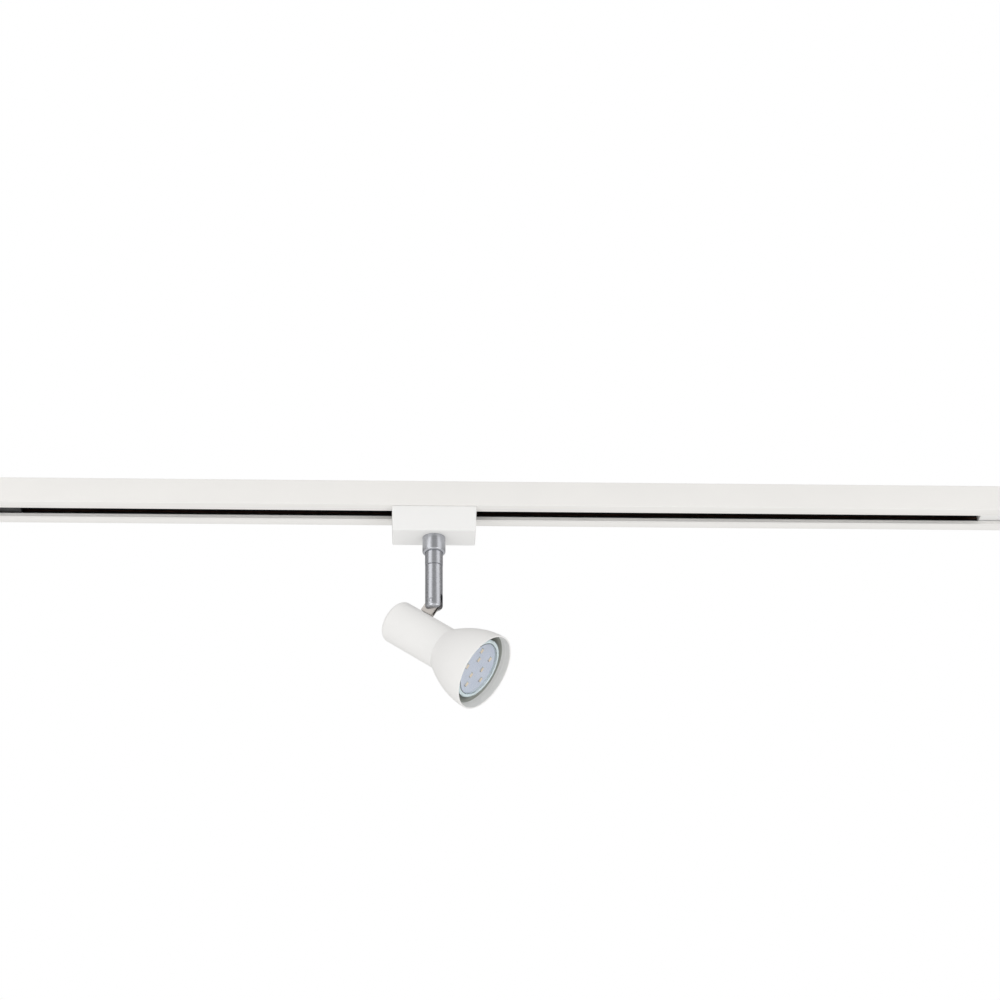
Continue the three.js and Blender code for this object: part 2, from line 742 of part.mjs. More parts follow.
// ---------- stem, turning half ----------

const arm = new THREE.Group();
arm.rotation.z = panRest * deg;
adapter.add(arm);

const stemEndArc = arc([lowerStemRadius - stemEndRounding, stemEnd + stemEndRounding],
  stemEndRounding, -90, 0, 4);
const lowerStemBody = turned('z', [
  [0, stemEnd],
  ...stemEndArc,
  [lowerStemRadius, lowerStemTop - jointChamfer],
  [lowerStemRadius - jointChamfer, lowerStemTop],
  [spigotRadius, lowerStemTop],
  [spigotRadius, spigotTop],
  [0, spigotTop],
], 40);
const forkSlot = block([-lowerStemRadius - past, -forkSlotWidth / 2, stemEnd - past],
  [lowerStemRadius + past, forkSlotWidth / 2, forkRoof]);
addPart(arm, 'lower_stem', cut(lowerStemBody, [
  forkSlot,
  rod('z', stemBore, forkRoof - past, spigotTop + past, [0, 0], 24),
  rod('y', tiltPinRadius + screwGap, -lowerStemRadius - past, lowerStemRadius + past,
    [0, pivotLevel], 24),
]), satinChrome());

const ringBottom = shoulderTop + restGap;
const stopRing = turned('z', [
  [ringBore, ringBottom],
  [ringReach, ringBottom],
  [ringReach, ringBottom + stopRingHeight],
  [ringBore, ringBottom + stopRingHeight],
  [ringBore, ringBottom],
], 36);
const stopTooth = block([ringReach - stopRingWall / 2, -stopToothHalf, ringBottom],
  [toothReach, stopToothHalf, ringBottom + stopRingHeight]);
addPart(arm, 'pan_stop_ring', join([stopRing, stopTooth]), zincSteel());

const clipBottom = ringBottom + stopRingHeight + restGap;
const clip = turned('z', [
  [ringBore, clipBottom],
  [toothReach, clipBottom],
  [toothReach, clipBottom + circlipHeight],
  [ringBore, clipBottom + circlipHeight],
  [ringBore, clipBottom],
], 36);
addPart(arm, 'swivel_circlip', cut(clip, [
  block([0, -circlipGapHalf, clipBottom - past],
    [toothReach + past, circlipGapHalf, clipBottom + circlipHeight + past]),
]), zincSteel());

const pinHalf = Math.sqrt(lowerStemRadius ** 2 - tiltPinRadius ** 2) - restGap / 4;
addPart(arm, 'tilt_pin', rod('y', tiltPinRadius, -pinHalf, pinHalf, [0, pivotLevel], 24),
  zincSteel());

addPart(arm, 'stem_lead', rod('z', leadRadius, forkRoof + 0.5, spigotTop + 3, [0, 0], 12),
  silicone());

// ---------- head ----------

// The head turns about the tilt pin. Its own X axis runs forward through the lamp, below
// the pin by the housing's radius and the lug's height.
const head = new THREE.Group();
head.position.set(0, 0, pivotLevel);
head.rotation.y = tiltRest * deg;
arm.add(head);

const lugOutline = [
  [-lugWidth / 2, lugFoot],
  [lugWidth / 2, lugFoot],
  ...arc([0, 0], lugWidth / 2, 0, 180, 14),
];
const lugScrewX = [-lugScrewSpacing / 2, lugScrewSpacing / 2];
const wireHoleRadius = leadRadius + restGap;
const drillDepth = -headDrop + housingInner - 3 * past;
const throughLug = (radius) => lugScrewX.map((x) =>
  rod('z', radius, drillDepth, lugFoot + lugBase + past, [x, 0], 16));
const wireHole = rod('z', wireHoleRadius, drillDepth, lugFoot + lugBase + past, [0, 0], 18);
addPart(head, 'tilt_bracket', cut(alongY(lugOutline, -lugThickness / 2, lugThickness / 2), [
  block([-lugWidth, -lugThickness / 2 + lugCheek, lugFoot + lugBase],
    [lugWidth, lugThickness / 2 - lugCheek, lugWidth]),
  rod('y', tiltPinRadius + screwGap, -lugThickness, lugThickness, [0, 0], 24),
  ...throughLug(lugScrewRadius + screwGap),
  wireHole,
]), nickel());

// The bell's outline is a parabola with its crown at the mouth.
const bellRadius = (share, neck, mouth) => neck + (mouth - neck) * (1 - (1 - share) ** 2);
const bellSteps = 9;
const bellOutside = Array.from({ length: bellSteps + 1 }, (_, i) => [
  bellRadius(i / bellSteps, housingRadius, mouthRadius),
  neckReach + (bellLength * i) / bellSteps,
]);
const bellInside = Array.from({ length: bellSteps + 1 }, (_, i) => [
  bellRadius(1 - i / bellSteps, housingInner, mouthRadius - housingWall),
  mouthReach - (bellLength * i) / bellSteps,
]);
const rearInner = -rearReach + housingWall;
const innerFillet = rearFillet - housingWall;
const housingProfile = [
  [0, -rearReach],
  ...arc([housingRadius - rearFillet, -rearReach + rearFillet], rearFillet, -90, 0, 5),
  ...bellOutside,
  ...bellInside,
  ...arc([housingInner - innerFillet, rearInner + innerFillet], innerFillet, 0, -90, 4),
  [0, rearInner],
];
const housingBody = turned('x', housingProfile, 48).translate(0, 0, -headDrop);
addPart(head, 'lamp_housing',
  cut(housingBody, [...throughLug(lugScrewRadius + screwGap), wireHole]), whiteCoat());

// The bridge is a bent strap: its foot is clamped under the housing's wall by the bracket's
// screws, and its web carries the lampholder.
const footTop = -headDrop + Math.sqrt(housingInner ** 2 - footHalfWidth ** 2) - turnGap;
const footBottom = footTop - footThickness;
const footMargin = 2.6; // past each screw
const footHalfLength = lugScrewSpacing / 2 + footMargin;
const webFront = holderBack - restGap;
const webBack = webFront - bridgeThickness;
const holderScrewRadius = 1.1;
const holderScrewY = [-holderScrewSpacing / 2, holderScrewSpacing / 2];
const bridgeFoot = block([webBack, -footHalfWidth, footBottom],
  [footHalfLength, footHalfWidth, footTop]);
const bridgeStrip = block([webBack, -footHalfWidth, -headDrop], [webFront, footHalfWidth, footTop]);
const bridgeInset = 0.5; // from the holder's outside
const bridgeHoleRadius = 3;
const bridgeDisc = rod('x', holderRadius - bridgeInset, webBack, webFront, [0, -headDrop], 36);
addPart(head, 'holder_bridge', cut(join([bridgeDisc, bridgeStrip, bridgeFoot]), [
  ...throughLug(lugScrewRadius + screwGap),
  block([-wireHoleRadius, -wireHoleRadius, footBottom - past],
    [wireHoleRadius, footHalfWidth + past, footTop + past]),
  rod('x', bridgeHoleRadius, webBack - past, webFront + past, [0, -headDrop], 24),
  ...holderScrewY.map((y) =>
    rod('x', holderScrewRadius + screwGap, webBack - past, webFront + past, [y, -headDrop], 16)),
]), zincSteel());

const lugHeadHeight = 1.2;
const lugHeadRadius = 1.8;
const lugScrewLength = lugFoot + lugBase - footBottom;
lugScrewX.forEach((x, i) => addPart(head, `bracket_screw_${i + 1}`,
  screw('z', lugHeadRadius, lugHeadHeight, lugScrewRadius, lugScrewLength)
    .translate(x, 0, footBottom - restGap / 2 - lugHeadHeight), zincSteel()));

// Two curved pockets take the lamp's pins and let them turn.
const pocketHalf = pinHeadRadius + slideGap;
const pocketReach = pinLength + 3 * slideGap;
const pocketEase = 0.9; // of the angle that the pin's head takes up
function pinPocket(startAngle) {
  const spread = Math.asin(pocketHalf / pinCircleRadius) / deg * pocketEase;
  const from = startAngle - spread;
  const to = startAngle + twistRoom + spread;
  const points = [
    ...arc([0, 0], pinCircleRadius + pocketHalf, from, to, 10),
    ...arc([0, 0], pinCircleRadius - pocketHalf, to, from, 6),
  ];
  return alongX(points, holderFront - pocketReach, holderFront + past).translate(0, 0, -headDrop);
}
const holderChamfer = 0.8;
const holderScrewBite = 6;
const holderHeadRadius = 2.2;
const holderBody = turned('x', [
  [0, holderBack],
  [holderRadius, holderBack],
  [holderRadius, holderFront - holderChamfer],
  [holderRadius - holderChamfer, holderFront],
  [0, holderFront],
], 40).translate(0, 0, -headDrop);
addPart(head, 'lampholder', cut(holderBody, [
  pinPocket(0),
  pinPocket(180),
  ...holderScrewY.map((y) =>
    rod('x', holderScrewRadius + screwGap, holderBack - past, holderBack + holderScrewBite + past,
      [y, -headDrop], 16)),
]), ceramic());

const holderHeadHeight = 1.4;
holderScrewY.forEach((y, i) => addPart(head, `holder_screw_${i + 1}`,
  screw('x', holderHeadRadius, holderHeadHeight, holderScrewRadius, bridgeThickness + holderScrewBite)
    .translate(webBack - restGap / 2 - holderHeadHeight, y, -headDrop), zincSteel()));

const leadRing = (holderRadius + housingInner) / 2;
const aroundHolder = (x, angle, radius = leadRing) =>
  [x, radius * Math.sin(angle * deg), -headDrop + radius * Math.cos(angle * deg)];
addPart(head, 'head_lead', lead([
  [0, 0, lugFoot + 0.3],
  [0, 0, footBottom - 0.4],
  aroundHolder(0, 17),
  aroundHolder(-1.5, 34),
  aroundHolder(webBack + 1.5, 44),
  aroundHolder(webBack - 3.4, 46, leadRing * 0.8),
  [webBack - 5.2, 2.5, -headDrop + 2],
  [webBack - 2.6, 0, -headDrop],
  [holderBack - restGap, 0, -headDrop],
], leadRadius * 0.9, 20), silicone());

// ---------- lamp ----------

const lamp = new THREE.Group();
lamp.position.set(0, 0, -headDrop);
head.add(lamp);

const lampShellBack = lampBaseRadius + shellOverBase;
const lampShellFront = lampDiameter / 2 - shellUnderRim;
const shellSeat = lampShellBack - shellSeatWidth;
const shellStart = lampBaseFront + restGap;
const shellEnd = rimBack - restGap;
const shellSteps = 5;
const shellCurve = (offset) => Array.from({ length: shellSteps + 1 }, (_, i) => {
  const share = i / shellSteps;
  const radius = lampShellBack + (lampShellFront - lampShellBack) * share ** shellBulge;
  return [radius - offset, shellStart + (shellEnd - shellStart) * share];
});
addPart(lamp, 'lamp_shell', turned('x', [
  [shellSeat, shellStart],
  ...shellCurve(0),
  ...shellCurve(shellWall).reverse().slice(0, -1),
  [lampShellBack - shellWall, shellStart + shellWall],
  [shellSeat, shellStart + shellWall],
  [shellSeat, shellStart],
], 36), clearGlass());

addPart(lamp, 'lamp_base', turned('x', [
  [0, lampBack],
  [lampBaseRadius - lampBaseChamfer, lampBack],
  [lampBaseRadius, lampBack + lampBaseChamfer],
  [lampBaseRadius, lampBaseFront],
  [0, lampBaseFront],
], 40), ceramic());

[0, 180].forEach((angle, i) => {
  const y = pinCircleRadius * Math.cos(angle * deg);
  const z = pinCircleRadius * Math.sin(angle * deg);
  addPart(lamp, `lamp_pin_${i + 1}`, turned('x', [
    [0, pinTip],
    [pinHeadRadius - pinChamfer, pinTip],
    [pinHeadRadius, pinTip + pinChamfer],
    [pinHeadRadius, pinTip + pinHeadHeight],
    [pinShankRadius, pinTip + pinHeadHeight],
    [pinShankRadius, lampBack - restGap / 2],
    [0, lampBack - restGap / 2],
  ], 20).translate(0, y, z), nickel());
});

const lensBack = lampFace - lensThickness;
const rimInner = lampDiameter / 2 - rimWidth;
addPart(lamp, 'lamp_lens', turned('x', [
  [0, lensBack],
  [rimInner, lensBack],
  [rimInner, rimBack],
  [lampDiameter / 2, rimBack],
  ...arc([lampDiameter / 2 - lensRounding, lampFace - lensRounding], lensRounding, 0, 90, 3),
  [0, lampFace],
], 48), clearGlass());

addPart(lamp, 'lamp_board',
  rod('x', rimInner - restGap, boardFace - boardThickness, boardFace, [0, 0], 48), boardWhite());

// Two rings of chips: five outside and three inside.
const chipPlaces = [
  ...Array.from({ length: outerChips }, (_, i) =>
    [outerChipRadius, outerChipTurn + (360 * i) / outerChips]),
  ...Array.from({ length: innerChips }, (_, i) =>
    [innerChipRadius, innerChipTurn + (360 * i) / innerChips]),
];
const chipBack = boardFace + restGap / 2;
chipPlaces.forEach(([radius, angle], i) => {
  const y = -radius * Math.sin(angle * deg);
  const z = -radius * Math.cos(angle * deg);
  addPart(lamp, `led_chip_${i + 1}`, block(
    [chipBack, y - chipWidth / 2, z - chipLength / 2],
    [chipBack + chipHeight, y + chipWidth / 2, z + chipLength / 2],
  ), phosphor());
});

export default spotlight;
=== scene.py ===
"""Track spotlight: a white track under a ceiling, with its feed, a twist-lock adapter that slides
along it, a chromed swivel stem and a tilting lamp housing with a GU10 reflector lamp.

Metres, +Z up. X runs along the track, and the origin is the middle of its ceiling face.
Shapes are drawn in millimetres and brought to metres as each piece is added.
"""

import json
import math

import bmesh
import bpy
from mathutils import Matrix, Vector


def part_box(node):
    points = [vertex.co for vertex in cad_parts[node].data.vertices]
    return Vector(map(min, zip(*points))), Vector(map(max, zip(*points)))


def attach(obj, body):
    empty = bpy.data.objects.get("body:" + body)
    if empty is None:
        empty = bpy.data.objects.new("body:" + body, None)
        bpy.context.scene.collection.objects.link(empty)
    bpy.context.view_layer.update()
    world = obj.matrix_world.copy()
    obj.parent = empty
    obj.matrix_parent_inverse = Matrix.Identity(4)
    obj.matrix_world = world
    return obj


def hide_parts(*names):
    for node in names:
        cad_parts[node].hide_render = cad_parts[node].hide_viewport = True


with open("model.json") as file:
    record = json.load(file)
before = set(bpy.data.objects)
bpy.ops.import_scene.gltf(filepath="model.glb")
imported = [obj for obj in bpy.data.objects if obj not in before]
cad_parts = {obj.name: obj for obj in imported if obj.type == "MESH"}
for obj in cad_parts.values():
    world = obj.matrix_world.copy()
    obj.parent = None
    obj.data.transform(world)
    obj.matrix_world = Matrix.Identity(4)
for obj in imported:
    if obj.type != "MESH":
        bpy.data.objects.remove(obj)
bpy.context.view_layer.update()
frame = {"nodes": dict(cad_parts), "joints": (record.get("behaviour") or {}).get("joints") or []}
scene = bpy.context.scene
MM = 0.001

# ---------- camera ----------
# A long lens looks up at the spotlight from well below the track, almost square on to it and
# rolled by under a degree.

aim = Vector((34.77, -18.75, -17.31)) * MM
azimuth, elevation, roll = (math.radians(a) for a in (2.832, 28.150, -0.843))
distance = 1.9
ahead = Vector((
    math.sin(azimuth) * math.cos(elevation),
    math.cos(azimuth) * math.cos(elevation),
    math.sin(elevation),
))
level = Vector((math.cos(azimuth), -math.sin(azimuth), 0))
rise = level.cross(ahead)
across = level * math.cos(roll) + rise * math.sin(roll)
upward = rise * math.cos(roll) - level * math.sin(roll)

camera_data = bpy.data.cameras.new("camera")
camera_data.lens = 83.45
camera_data.sensor_width = 36
camera_data.clip_end = 50
camera = bpy.data.objects.new("camera", camera_data)
camera.matrix_world = Matrix.Translation(aim - ahead * distance) @ Matrix(
    (across, upward, -ahead)).transposed().to_4x4()
scene.collection.objects.link(camera)
scene.camera = camera

# ---------- studio ----------
# A white room with a pale glowing floor far below the track, which lights what faces down. Two
# tall soft boxes stand in front with a gap between them and two smaller ones lower down, and a
# weak panel hangs above.

scene.view_settings.view_transform = "Standard"
scene.view_settings.look = "None"
room = bpy.data.worlds.new("white_room")
scene.world = room
room.use_nodes = True
front_glow, back_glow, low_glow = 0.46, 0.30, 0.33
nodes, links = room.node_tree.nodes, room.node_tree.links
nodes.clear()
seen = nodes.new("ShaderNodeBackground")
seen.inputs["Color"].default_value = (1, 1, 1, 1)
glow = nodes.new("ShaderNodeBackground")
glow.inputs["Color"].default_value = (1, 0.992, 0.98, 1)
direction = nodes.new("ShaderNodeTexCoord")
parts = nodes.new("ShaderNodeSeparateXYZ")
links.new(direction.outputs["Generated"], parts.inputs[0])
depth = nodes.new("ShaderNodeMapRange")
depth.inputs["From Min"].default_value = -1
depth.inputs["To Min"].default_value = front_glow
depth.inputs["To Max"].default_value = back_glow
links.new(parts.outputs["Y"], depth.inputs["Value"])
below = nodes.new("ShaderNodeMapRange")
below.inputs["From Min"].default_value = -1
below.inputs["From Max"].default_value = 0.2
below.inputs["To Min"].default_value = low_glow
below.inputs["To Max"].default_value = 0
links.new(parts.outputs["Z"], below.inputs["Value"])
both = nodes.new("ShaderNodeMath")
links.new(depth.outputs[0], both.inputs[0])
links.new(below.outputs[0], both.inputs[1])
links.new(both.outputs[0], glow.inputs["Strength"])
path = nodes.new("ShaderNodeLightPath")
chosen = nodes.new("ShaderNodeMixShader")
links.new(path.outputs["Is Camera Ray"], chosen.inputs["Fac"])
links.new(glow.outputs[0], chosen.inputs[1])
links.new(seen.outputs[0], chosen.inputs[2])
out = nodes.new("ShaderNodeOutputWorld")
links.new(chosen.outputs[0], out.inputs["Surface"])

centre = Vector((-10, 0, -80)) * MM
box_reach = 2.2


def soft_box(name, bearing, height, width, tall, watts):
    """An area light at a bearing from the front and an angle above level, facing the spotlight."""
    side, lift = math.radians(bearing), math.radians(height)
    away = Vector((
        math.sin(side) * math.cos(lift),
        -math.cos(side) * math.cos(lift),
        math.sin(lift),
    ))
    data = bpy.data.lights.new(name, "AREA")
    data.shape = "RECTANGLE"
    data.size, data.size_y = width, tall
    data.energy = watts
    light = bpy.data.objects.new(name, data)
    light.location = centre + away * box_reach
    light.rotation_euler = away.to_track_quat("Z", "Y").to_euler()
    light.visible_camera = False
    scene.collection.objects.link(light)


soft_box("left_soft_box", -52, 28, 1.6, 2.0, 11)
soft_box("right_soft_box", 56, 28, 1.6, 2.0, 9)
soft_box("low_left_box", -40, -22, 1.2, 1.2, 8)
soft_box("low_right_box", 45, -24, 1.2, 1.2, 7)
soft_box("top_panel", 20, 74, 1.4, 1.4, 2)

floor_level, floor_half, floor_glow = -2.4, 40, 0.45
floor_shape = bmesh.new()
bmesh.ops.create_grid(floor_shape, x_segments=8, y_segments=8, size=floor_half)
floor_mesh = bpy.data.meshes.new("studio_floor")
floor_shape.to_mesh(floor_mesh)
floor_shape.free()
floor = bpy.data.objects.new("studio_floor", floor_mesh)
floor.location = (0, 0, floor_level)
scene.collection.objects.link(floor)
floor_paint = bpy.data.materials.new("floor_paint")
floor_paint.use_nodes = True
shader = floor_paint.node_tree.nodes["Principled BSDF"]
shader.inputs["Base Color"].default_value = (0.86, 0.86, 0.85, 1)
shader.inputs["Roughness"].default_value = 0.8
shader.inputs["Emission Color"].default_value = (1, 1, 1, 1)
shader.inputs["Emission Strength"].default_value = floor_glow
floor_mesh.materials.append(floor_paint)

# ---------- track extrusion ----------
# An inverted channel of extruded aluminium: its two lips leave a slot along its underside, and
# each lip has a thin drawn line beside the slot. It is sawn off, drilled for two ceiling screws
# and powder coated white.


def group_of(name, inputs, outputs):
    """A shader node group with its sockets, and the nodes that stand for its two ends."""
    group = bpy.data.node_groups.new(name, "ShaderNodeTree")
    for label, kind, value in inputs:
        socket = group.interface.new_socket(label, in_out="INPUT", socket_type=kind)
        socket.default_value = value
    for label, kind in outputs:
        group.interface.new_socket(label, in_out="OUTPUT", socket_type=kind)
    return group, group.nodes.new("NodeGroupInput"), group.nodes.new("NodeGroupOutput")


def noise_in(group, scale, detail, stretch=None):
    """Noise over the piece's own coordinates, in features a metre, stretched if asked."""
    where = group.nodes.new("ShaderNodeTexCoord").outputs["Object"]
    if stretch is not None:
        mapping = group.nodes.new("ShaderNodeMapping")
        group.links.new(where, mapping.inputs["Vector"])
        group.links.new(stretch, mapping.inputs["Scale"])
        where = mapping.outputs[0]
    noise = group.nodes.new("ShaderNodeTexNoise")
    noise.inputs["Detail"].default_value = detail
    group.links.new(where, noise.inputs["Vector"])
    if isinstance(scale, (int, float)):
        noise.inputs["Scale"].default_value = scale
    else:
        group.links.new(scale, noise.inputs["Scale"])
    return noise.outputs["Fac"]


def spread(group, value, low, high):
    """A value that runs from low to high with the noise."""
    ranged = group.nodes.new("ShaderNodeMapRange")
    ranged.inputs["From Min"].default_value = 0.3
    ranged.inputs["From Max"].default_value = 0.7
    for label, end in (("To Min", low), ("To Max", high)):
        if isinstance(end, (int, float)):
            ranged.inputs[label].default_value = end
        else:
            group.links.new(end, ranged.inputs[label])
    group.links.new(value, ranged.inputs["Value"])
    return ranged.outputs[0]


def tinted(group, mask, first, second):
    """Two colours mixed by a mask that changes over the surface."""
    mix = group.nodes.new("ShaderNodeMix")
    mix.data_type = "RGBA"
    group.links.new(mask, mix.inputs["Factor"])
    group.links.new(first, mix.inputs["A"])
    group.links.new(second, mix.inputs["B"])
    return mix.outputs["Result"]


GRAIN_INPUTS = (
    ("Colour", "NodeSocketColor", (0.8, 0.8, 0.8, 1)),
    ("Shade", "NodeSocketColor", (0.75, 0.75, 0.75, 1)),
    ("Grain Scale", "NodeSocketFloat", 1500),
    ("Smooth", "NodeSocketFloat", 0.3),
    ("Rough", "NodeSocketFloat", 0.4),
)
GRAIN_OUTPUTS = (
    ("Colour", "NodeSocketColor"),
    ("Roughness", "NodeSocketFloat"),
    ("Height", "NodeSocketFloat"),
)

# Powder coat and moulded plastic: a fine peel, broad drifts of tone and a slow change of gloss.
peel, given, result = group_of("coat_peel", GRAIN_INPUTS, GRAIN_OUTPUTS)
drift = noise_in(peel, 22, 2)
fine = noise_in(peel, given.outputs["Grain Scale"], 3)
peel.links.new(tinted(peel, spread(peel, drift, 0, 1), given.outputs["Colour"],
                      given.outputs["Shade"]), result.inputs["Colour"])
peel.links.new(spread(peel, noise_in(peel, 130, 3), given.outputs["Smooth"],
                      given.outputs["Rough"]), result.inputs["Roughness"])
peel.links.new(fine, result.inputs["Height"])


def finished(name, group, values, bump, lift, metallic=0.0):
    """A material whose colour, roughness and grain come from a group; bump is its grain's depth."""
    material = bpy.data.materials.new(name)
    material.use_nodes = True
    tree = material.node_tree
    principled = tree.nodes["Principled BSDF"]
    effect = tree.nodes.new("ShaderNodeGroup")
    effect.node_tree = group
    for label, value in values.items():
        effect.inputs[label].default_value = value
    grain = tree.nodes.new("ShaderNodeBump")
    grain.inputs["Strength"].default_value = bump
    grain.inputs["Distance"].default_value = lift
    tree.links.new(effect.outputs["Colour"], principled.inputs["Base Color"])
    tree.links.new(effect.outputs["Roughness"], principled.inputs["Roughness"])
    tree.links.new(effect.outputs["Height"], grain.inputs["Height"])
    tree.links.new(grain.outputs["Normal"], principled.inputs["Normal"])
    principled.inputs["Metallic"].default_value = metallic
    return material


def rounded(corners):
    """An outline of (a, b, radius) corners, with each corner turned into an arc of its radius."""
    points, arc_parts = [], 4
    for i, (a, b, radius) in enumerate(corners):
        corner = Vector((a, b))
        if radius == 0:
            points.append(corner)
            continue
        back = (Vector(corners[i - 1][:2]) - corner).normalized()
        forth = (Vector(corners[(i + 1) % len(corners)][:2]) - corner).normalized()
        half = back.angle(forth) / 2
        middle = corner + (back + forth).normalized() * (radius / math.sin(half))
        reach = radius / math.tan(half)
        first, last = corner + back * reach - middle, corner + forth * reach - middle
        sweep = math.atan2(first.x * last.y - first.y * last.x, first.dot(last))
        for k in range(arc_parts + 1):
            points.append(middle + Matrix.Rotation(sweep * k / arc_parts, 2) @ first)
    return points


def drawn_out(outline, start, end, place):
    """A solid drawn along one axis; place(a, b, station) gives each of its points."""
    shape = bmesh.new()
    near, far = ([shape.verts.new(place(a, b, at)) for a, b in outline] for at in (start, end))
    for i in range(len(outline)):
        j = (i + 1) % len(outline)
        shape.faces.new((near[i], near[j], far[j], far[i]))
    caps = [shape.faces.new(near), shape.faces.new(far)]
    bmesh.ops.triangulate(shape, faces=caps, ngon_method="EAR_CLIP")
    bmesh.ops.recalc_face_normals(shape, faces=shape.faces)
    return shape


def turned(profile, sides):
    """A solid turned about Z: (radius, height) points that close on themselves or on the axis."""
    shape = bmesh.new()
    closed = profile[0] == profile[-1]
    rings = []
    for radius, height in profile[: -1 if closed else None]:
        count = sides if radius > 1e-6 else 1
        rings.append([
            shape.verts.new((
                radius * math.cos(2 * math.pi * k / sides),
                radius * math.sin(2 * math.pi * k / sides),
                height,
            ))
            for k in range(count)
        ])
    pairs = list(zip(rings, rings[1:])) + ([(rings[-1], rings[0])] if closed else [])
    for one, two in pairs:
        for k in range(sides):
            m = (k + 1) % sides
            corners = (one[k % len(one)], one[m % len(one)],
                       two[m % len(two)], two[k % len(two)])
            corners = list(dict.fromkeys(corners))
            if len(corners) > 2:
                shape.faces.new(corners)
    bmesh.ops.recalc_face_normals(shape, faces=shape.faces)
    return shape


def moved(shape, matrix):
    """The shape, moved or turned by a matrix."""
    bmesh.ops.transform(shape, matrix=matrix, verts=shape.verts)
    return shape


def cast(shape):
    """A loose object with this shape, for a boolean."""
    mesh = bpy.data.meshes.new("blank")
    shape.to_mesh(mesh)
    shape.free()
    blank = bpy.data.objects.new("blank", mesh)
    scene.collection.objects.link(blank)
    return blank


def worked(body, how, *tools):
    """The body with each tool's shape cut out of it ("DIFFERENCE") or joined to it ("UNION")."""
    blank = cast(body)
    cutters = [cast(tool) for tool in tools]
    for cutter in cutters:
        step = blank.modifiers.new("work", "BOOLEAN")
        step.operation, step.solver, step.object = how, "EXACT", cutter
    bpy.context.view_layer.update()
    shape = bmesh.new()
    shape.from_mesh(blank.evaluated_get(bpy.context.evaluated_depsgraph_get()).data)
    for used in (blank, *cutters):
        bpy.data.objects.remove(used)
    return shape


def add_piece(name, shape, material, body, replaced, place=None, sharp=32):
    """Brings a shape to metres and makes it a piece of a body, in the place of its CAD nodes."""
    bmesh.ops.scale(shape, vec=(MM, MM, MM), verts=shape.verts)
    if place is not None:
        moved(shape, place)
    bmesh.ops.recalc_face_normals(shape, faces=shape.faces)
    mesh = bpy.data.meshes.new(name)
    shape.to_mesh(mesh)
    shape.free()
    for face in mesh.polygons:
        face.use_smooth = True
    mesh.set_sharp_from_angle(angle=math.radians(sharp))
    mesh.materials.append(material)
    piece = bpy.data.objects.new(name, mesh)
    scene.collection.objects.link(piece)
    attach(piece, body)
    if replaced:
        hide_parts(*replaced)
    return piece


def box_mm(node):
    """A CAD node's lowest and highest corners in millimetres."""
    return [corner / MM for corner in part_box(node)]


track_white = finished("track_powder_coat", peel, {
    "Colour": (0.86, 0.847, 0.825, 1),
    "Shade": (0.84, 0.828, 0.808, 1),
    "Grain Scale": 1500,
    "Smooth": 0.36,
    "Rough": 0.46,
}, bump=0.12, lift=0.0001)

low, high = box_mm("track_extrusion")
half, bottom = high.y, low.z
wall, lip, lip_flange, slot_half = 1.5, 1.6, 1.2, 7.6
lip_top = bottom + 3.3
line_from, line_to, line_depth = slot_half + 1.5, slot_half + 2.0, 0.35
corner_ease, groove_low, groove_high = 0.7, bottom + 1.5, bottom + 2.0
outer = [
    (slot_half, bottom, 0.25),
    (line_from, bottom, 0.1),
    (line_from, bottom + line_depth, 0),
    (line_to, bottom + line_depth, 0),
    (line_to, bottom, 0.1),
    (half, bottom, corner_ease),
    (half, 0, corner_ease),
]
inner = [
    (half - wall, -wall, 0.4),
    (half - wall, bottom + lip, 0.4),
    (slot_half + lip_flange, bottom + lip, 0.3),
    (slot_half + lip_flange, lip_top, 0.2),
    (slot_half, lip_top, 0.2),
    (slot_half, groove_high, 0),
    (slot_half + line_depth, groove_high, 0),
    (slot_half + line_depth, groove_low, 0),
    (slot_half, groove_low, 0.1),
]

channel = rounded(
    outer + [(-a, b, r) for a, b, r in reversed(outer)]
    + [(-a, b, r) for a, b, r in reversed(inner)] + inner
)


def along_track(a, b, station):
    return station, a, b


def drill(radius, start, end, at, sides=48):
    """A round cutter or rod along Z."""
    rod = turned([(0, start), (radius, start), (radius, end), (0, end)], sides)
    return moved(rod, Matrix.Translation((*at, 0)))


hole_inset, hole_radius = 120, 2.3
holes = [
    drill(hole_radius, -2 * wall, 2, (x, 0)) for x in (low.x + hole_inset, high.x - hole_inset)
]
add_piece("powder_coated_track", worked(
    drawn_out(channel, low.x, high.x, along_track), "DIFFERENCE", *holes),
    track_white, "track", ["track_extrusion"])

# ---------- insulator and conductors ----------
# A black liner of insulating plastic slides into the channel and holds a bare copper bar in a
# groove on each side. A copper strip along its roof carries the earth.

# Drawn metal: fine lines along one direction, with a slow change of gloss between them.
LINE_INPUTS = GRAIN_INPUTS + (("Stretch", "NodeSocketVector", (1, 1, 1)),)
lines_group, given, result = group_of("drawn_lines", LINE_INPUTS, GRAIN_OUTPUTS)
streak = noise_in(lines_group, given.outputs["Grain Scale"], 2, given.outputs["Stretch"])
patch = noise_in(lines_group, 90, 2)
lines_group.links.new(tinted(lines_group, spread(lines_group, patch, 0, 1),
                             given.outputs["Colour"], given.outputs["Shade"]),
                      result.inputs["Colour"])
lines_group.links.new(spread(lines_group, streak, given.outputs["Smooth"],
                             given.outputs["Rough"]), result.inputs["Roughness"])
lines_group.links.new(streak, result.inputs["Height"])

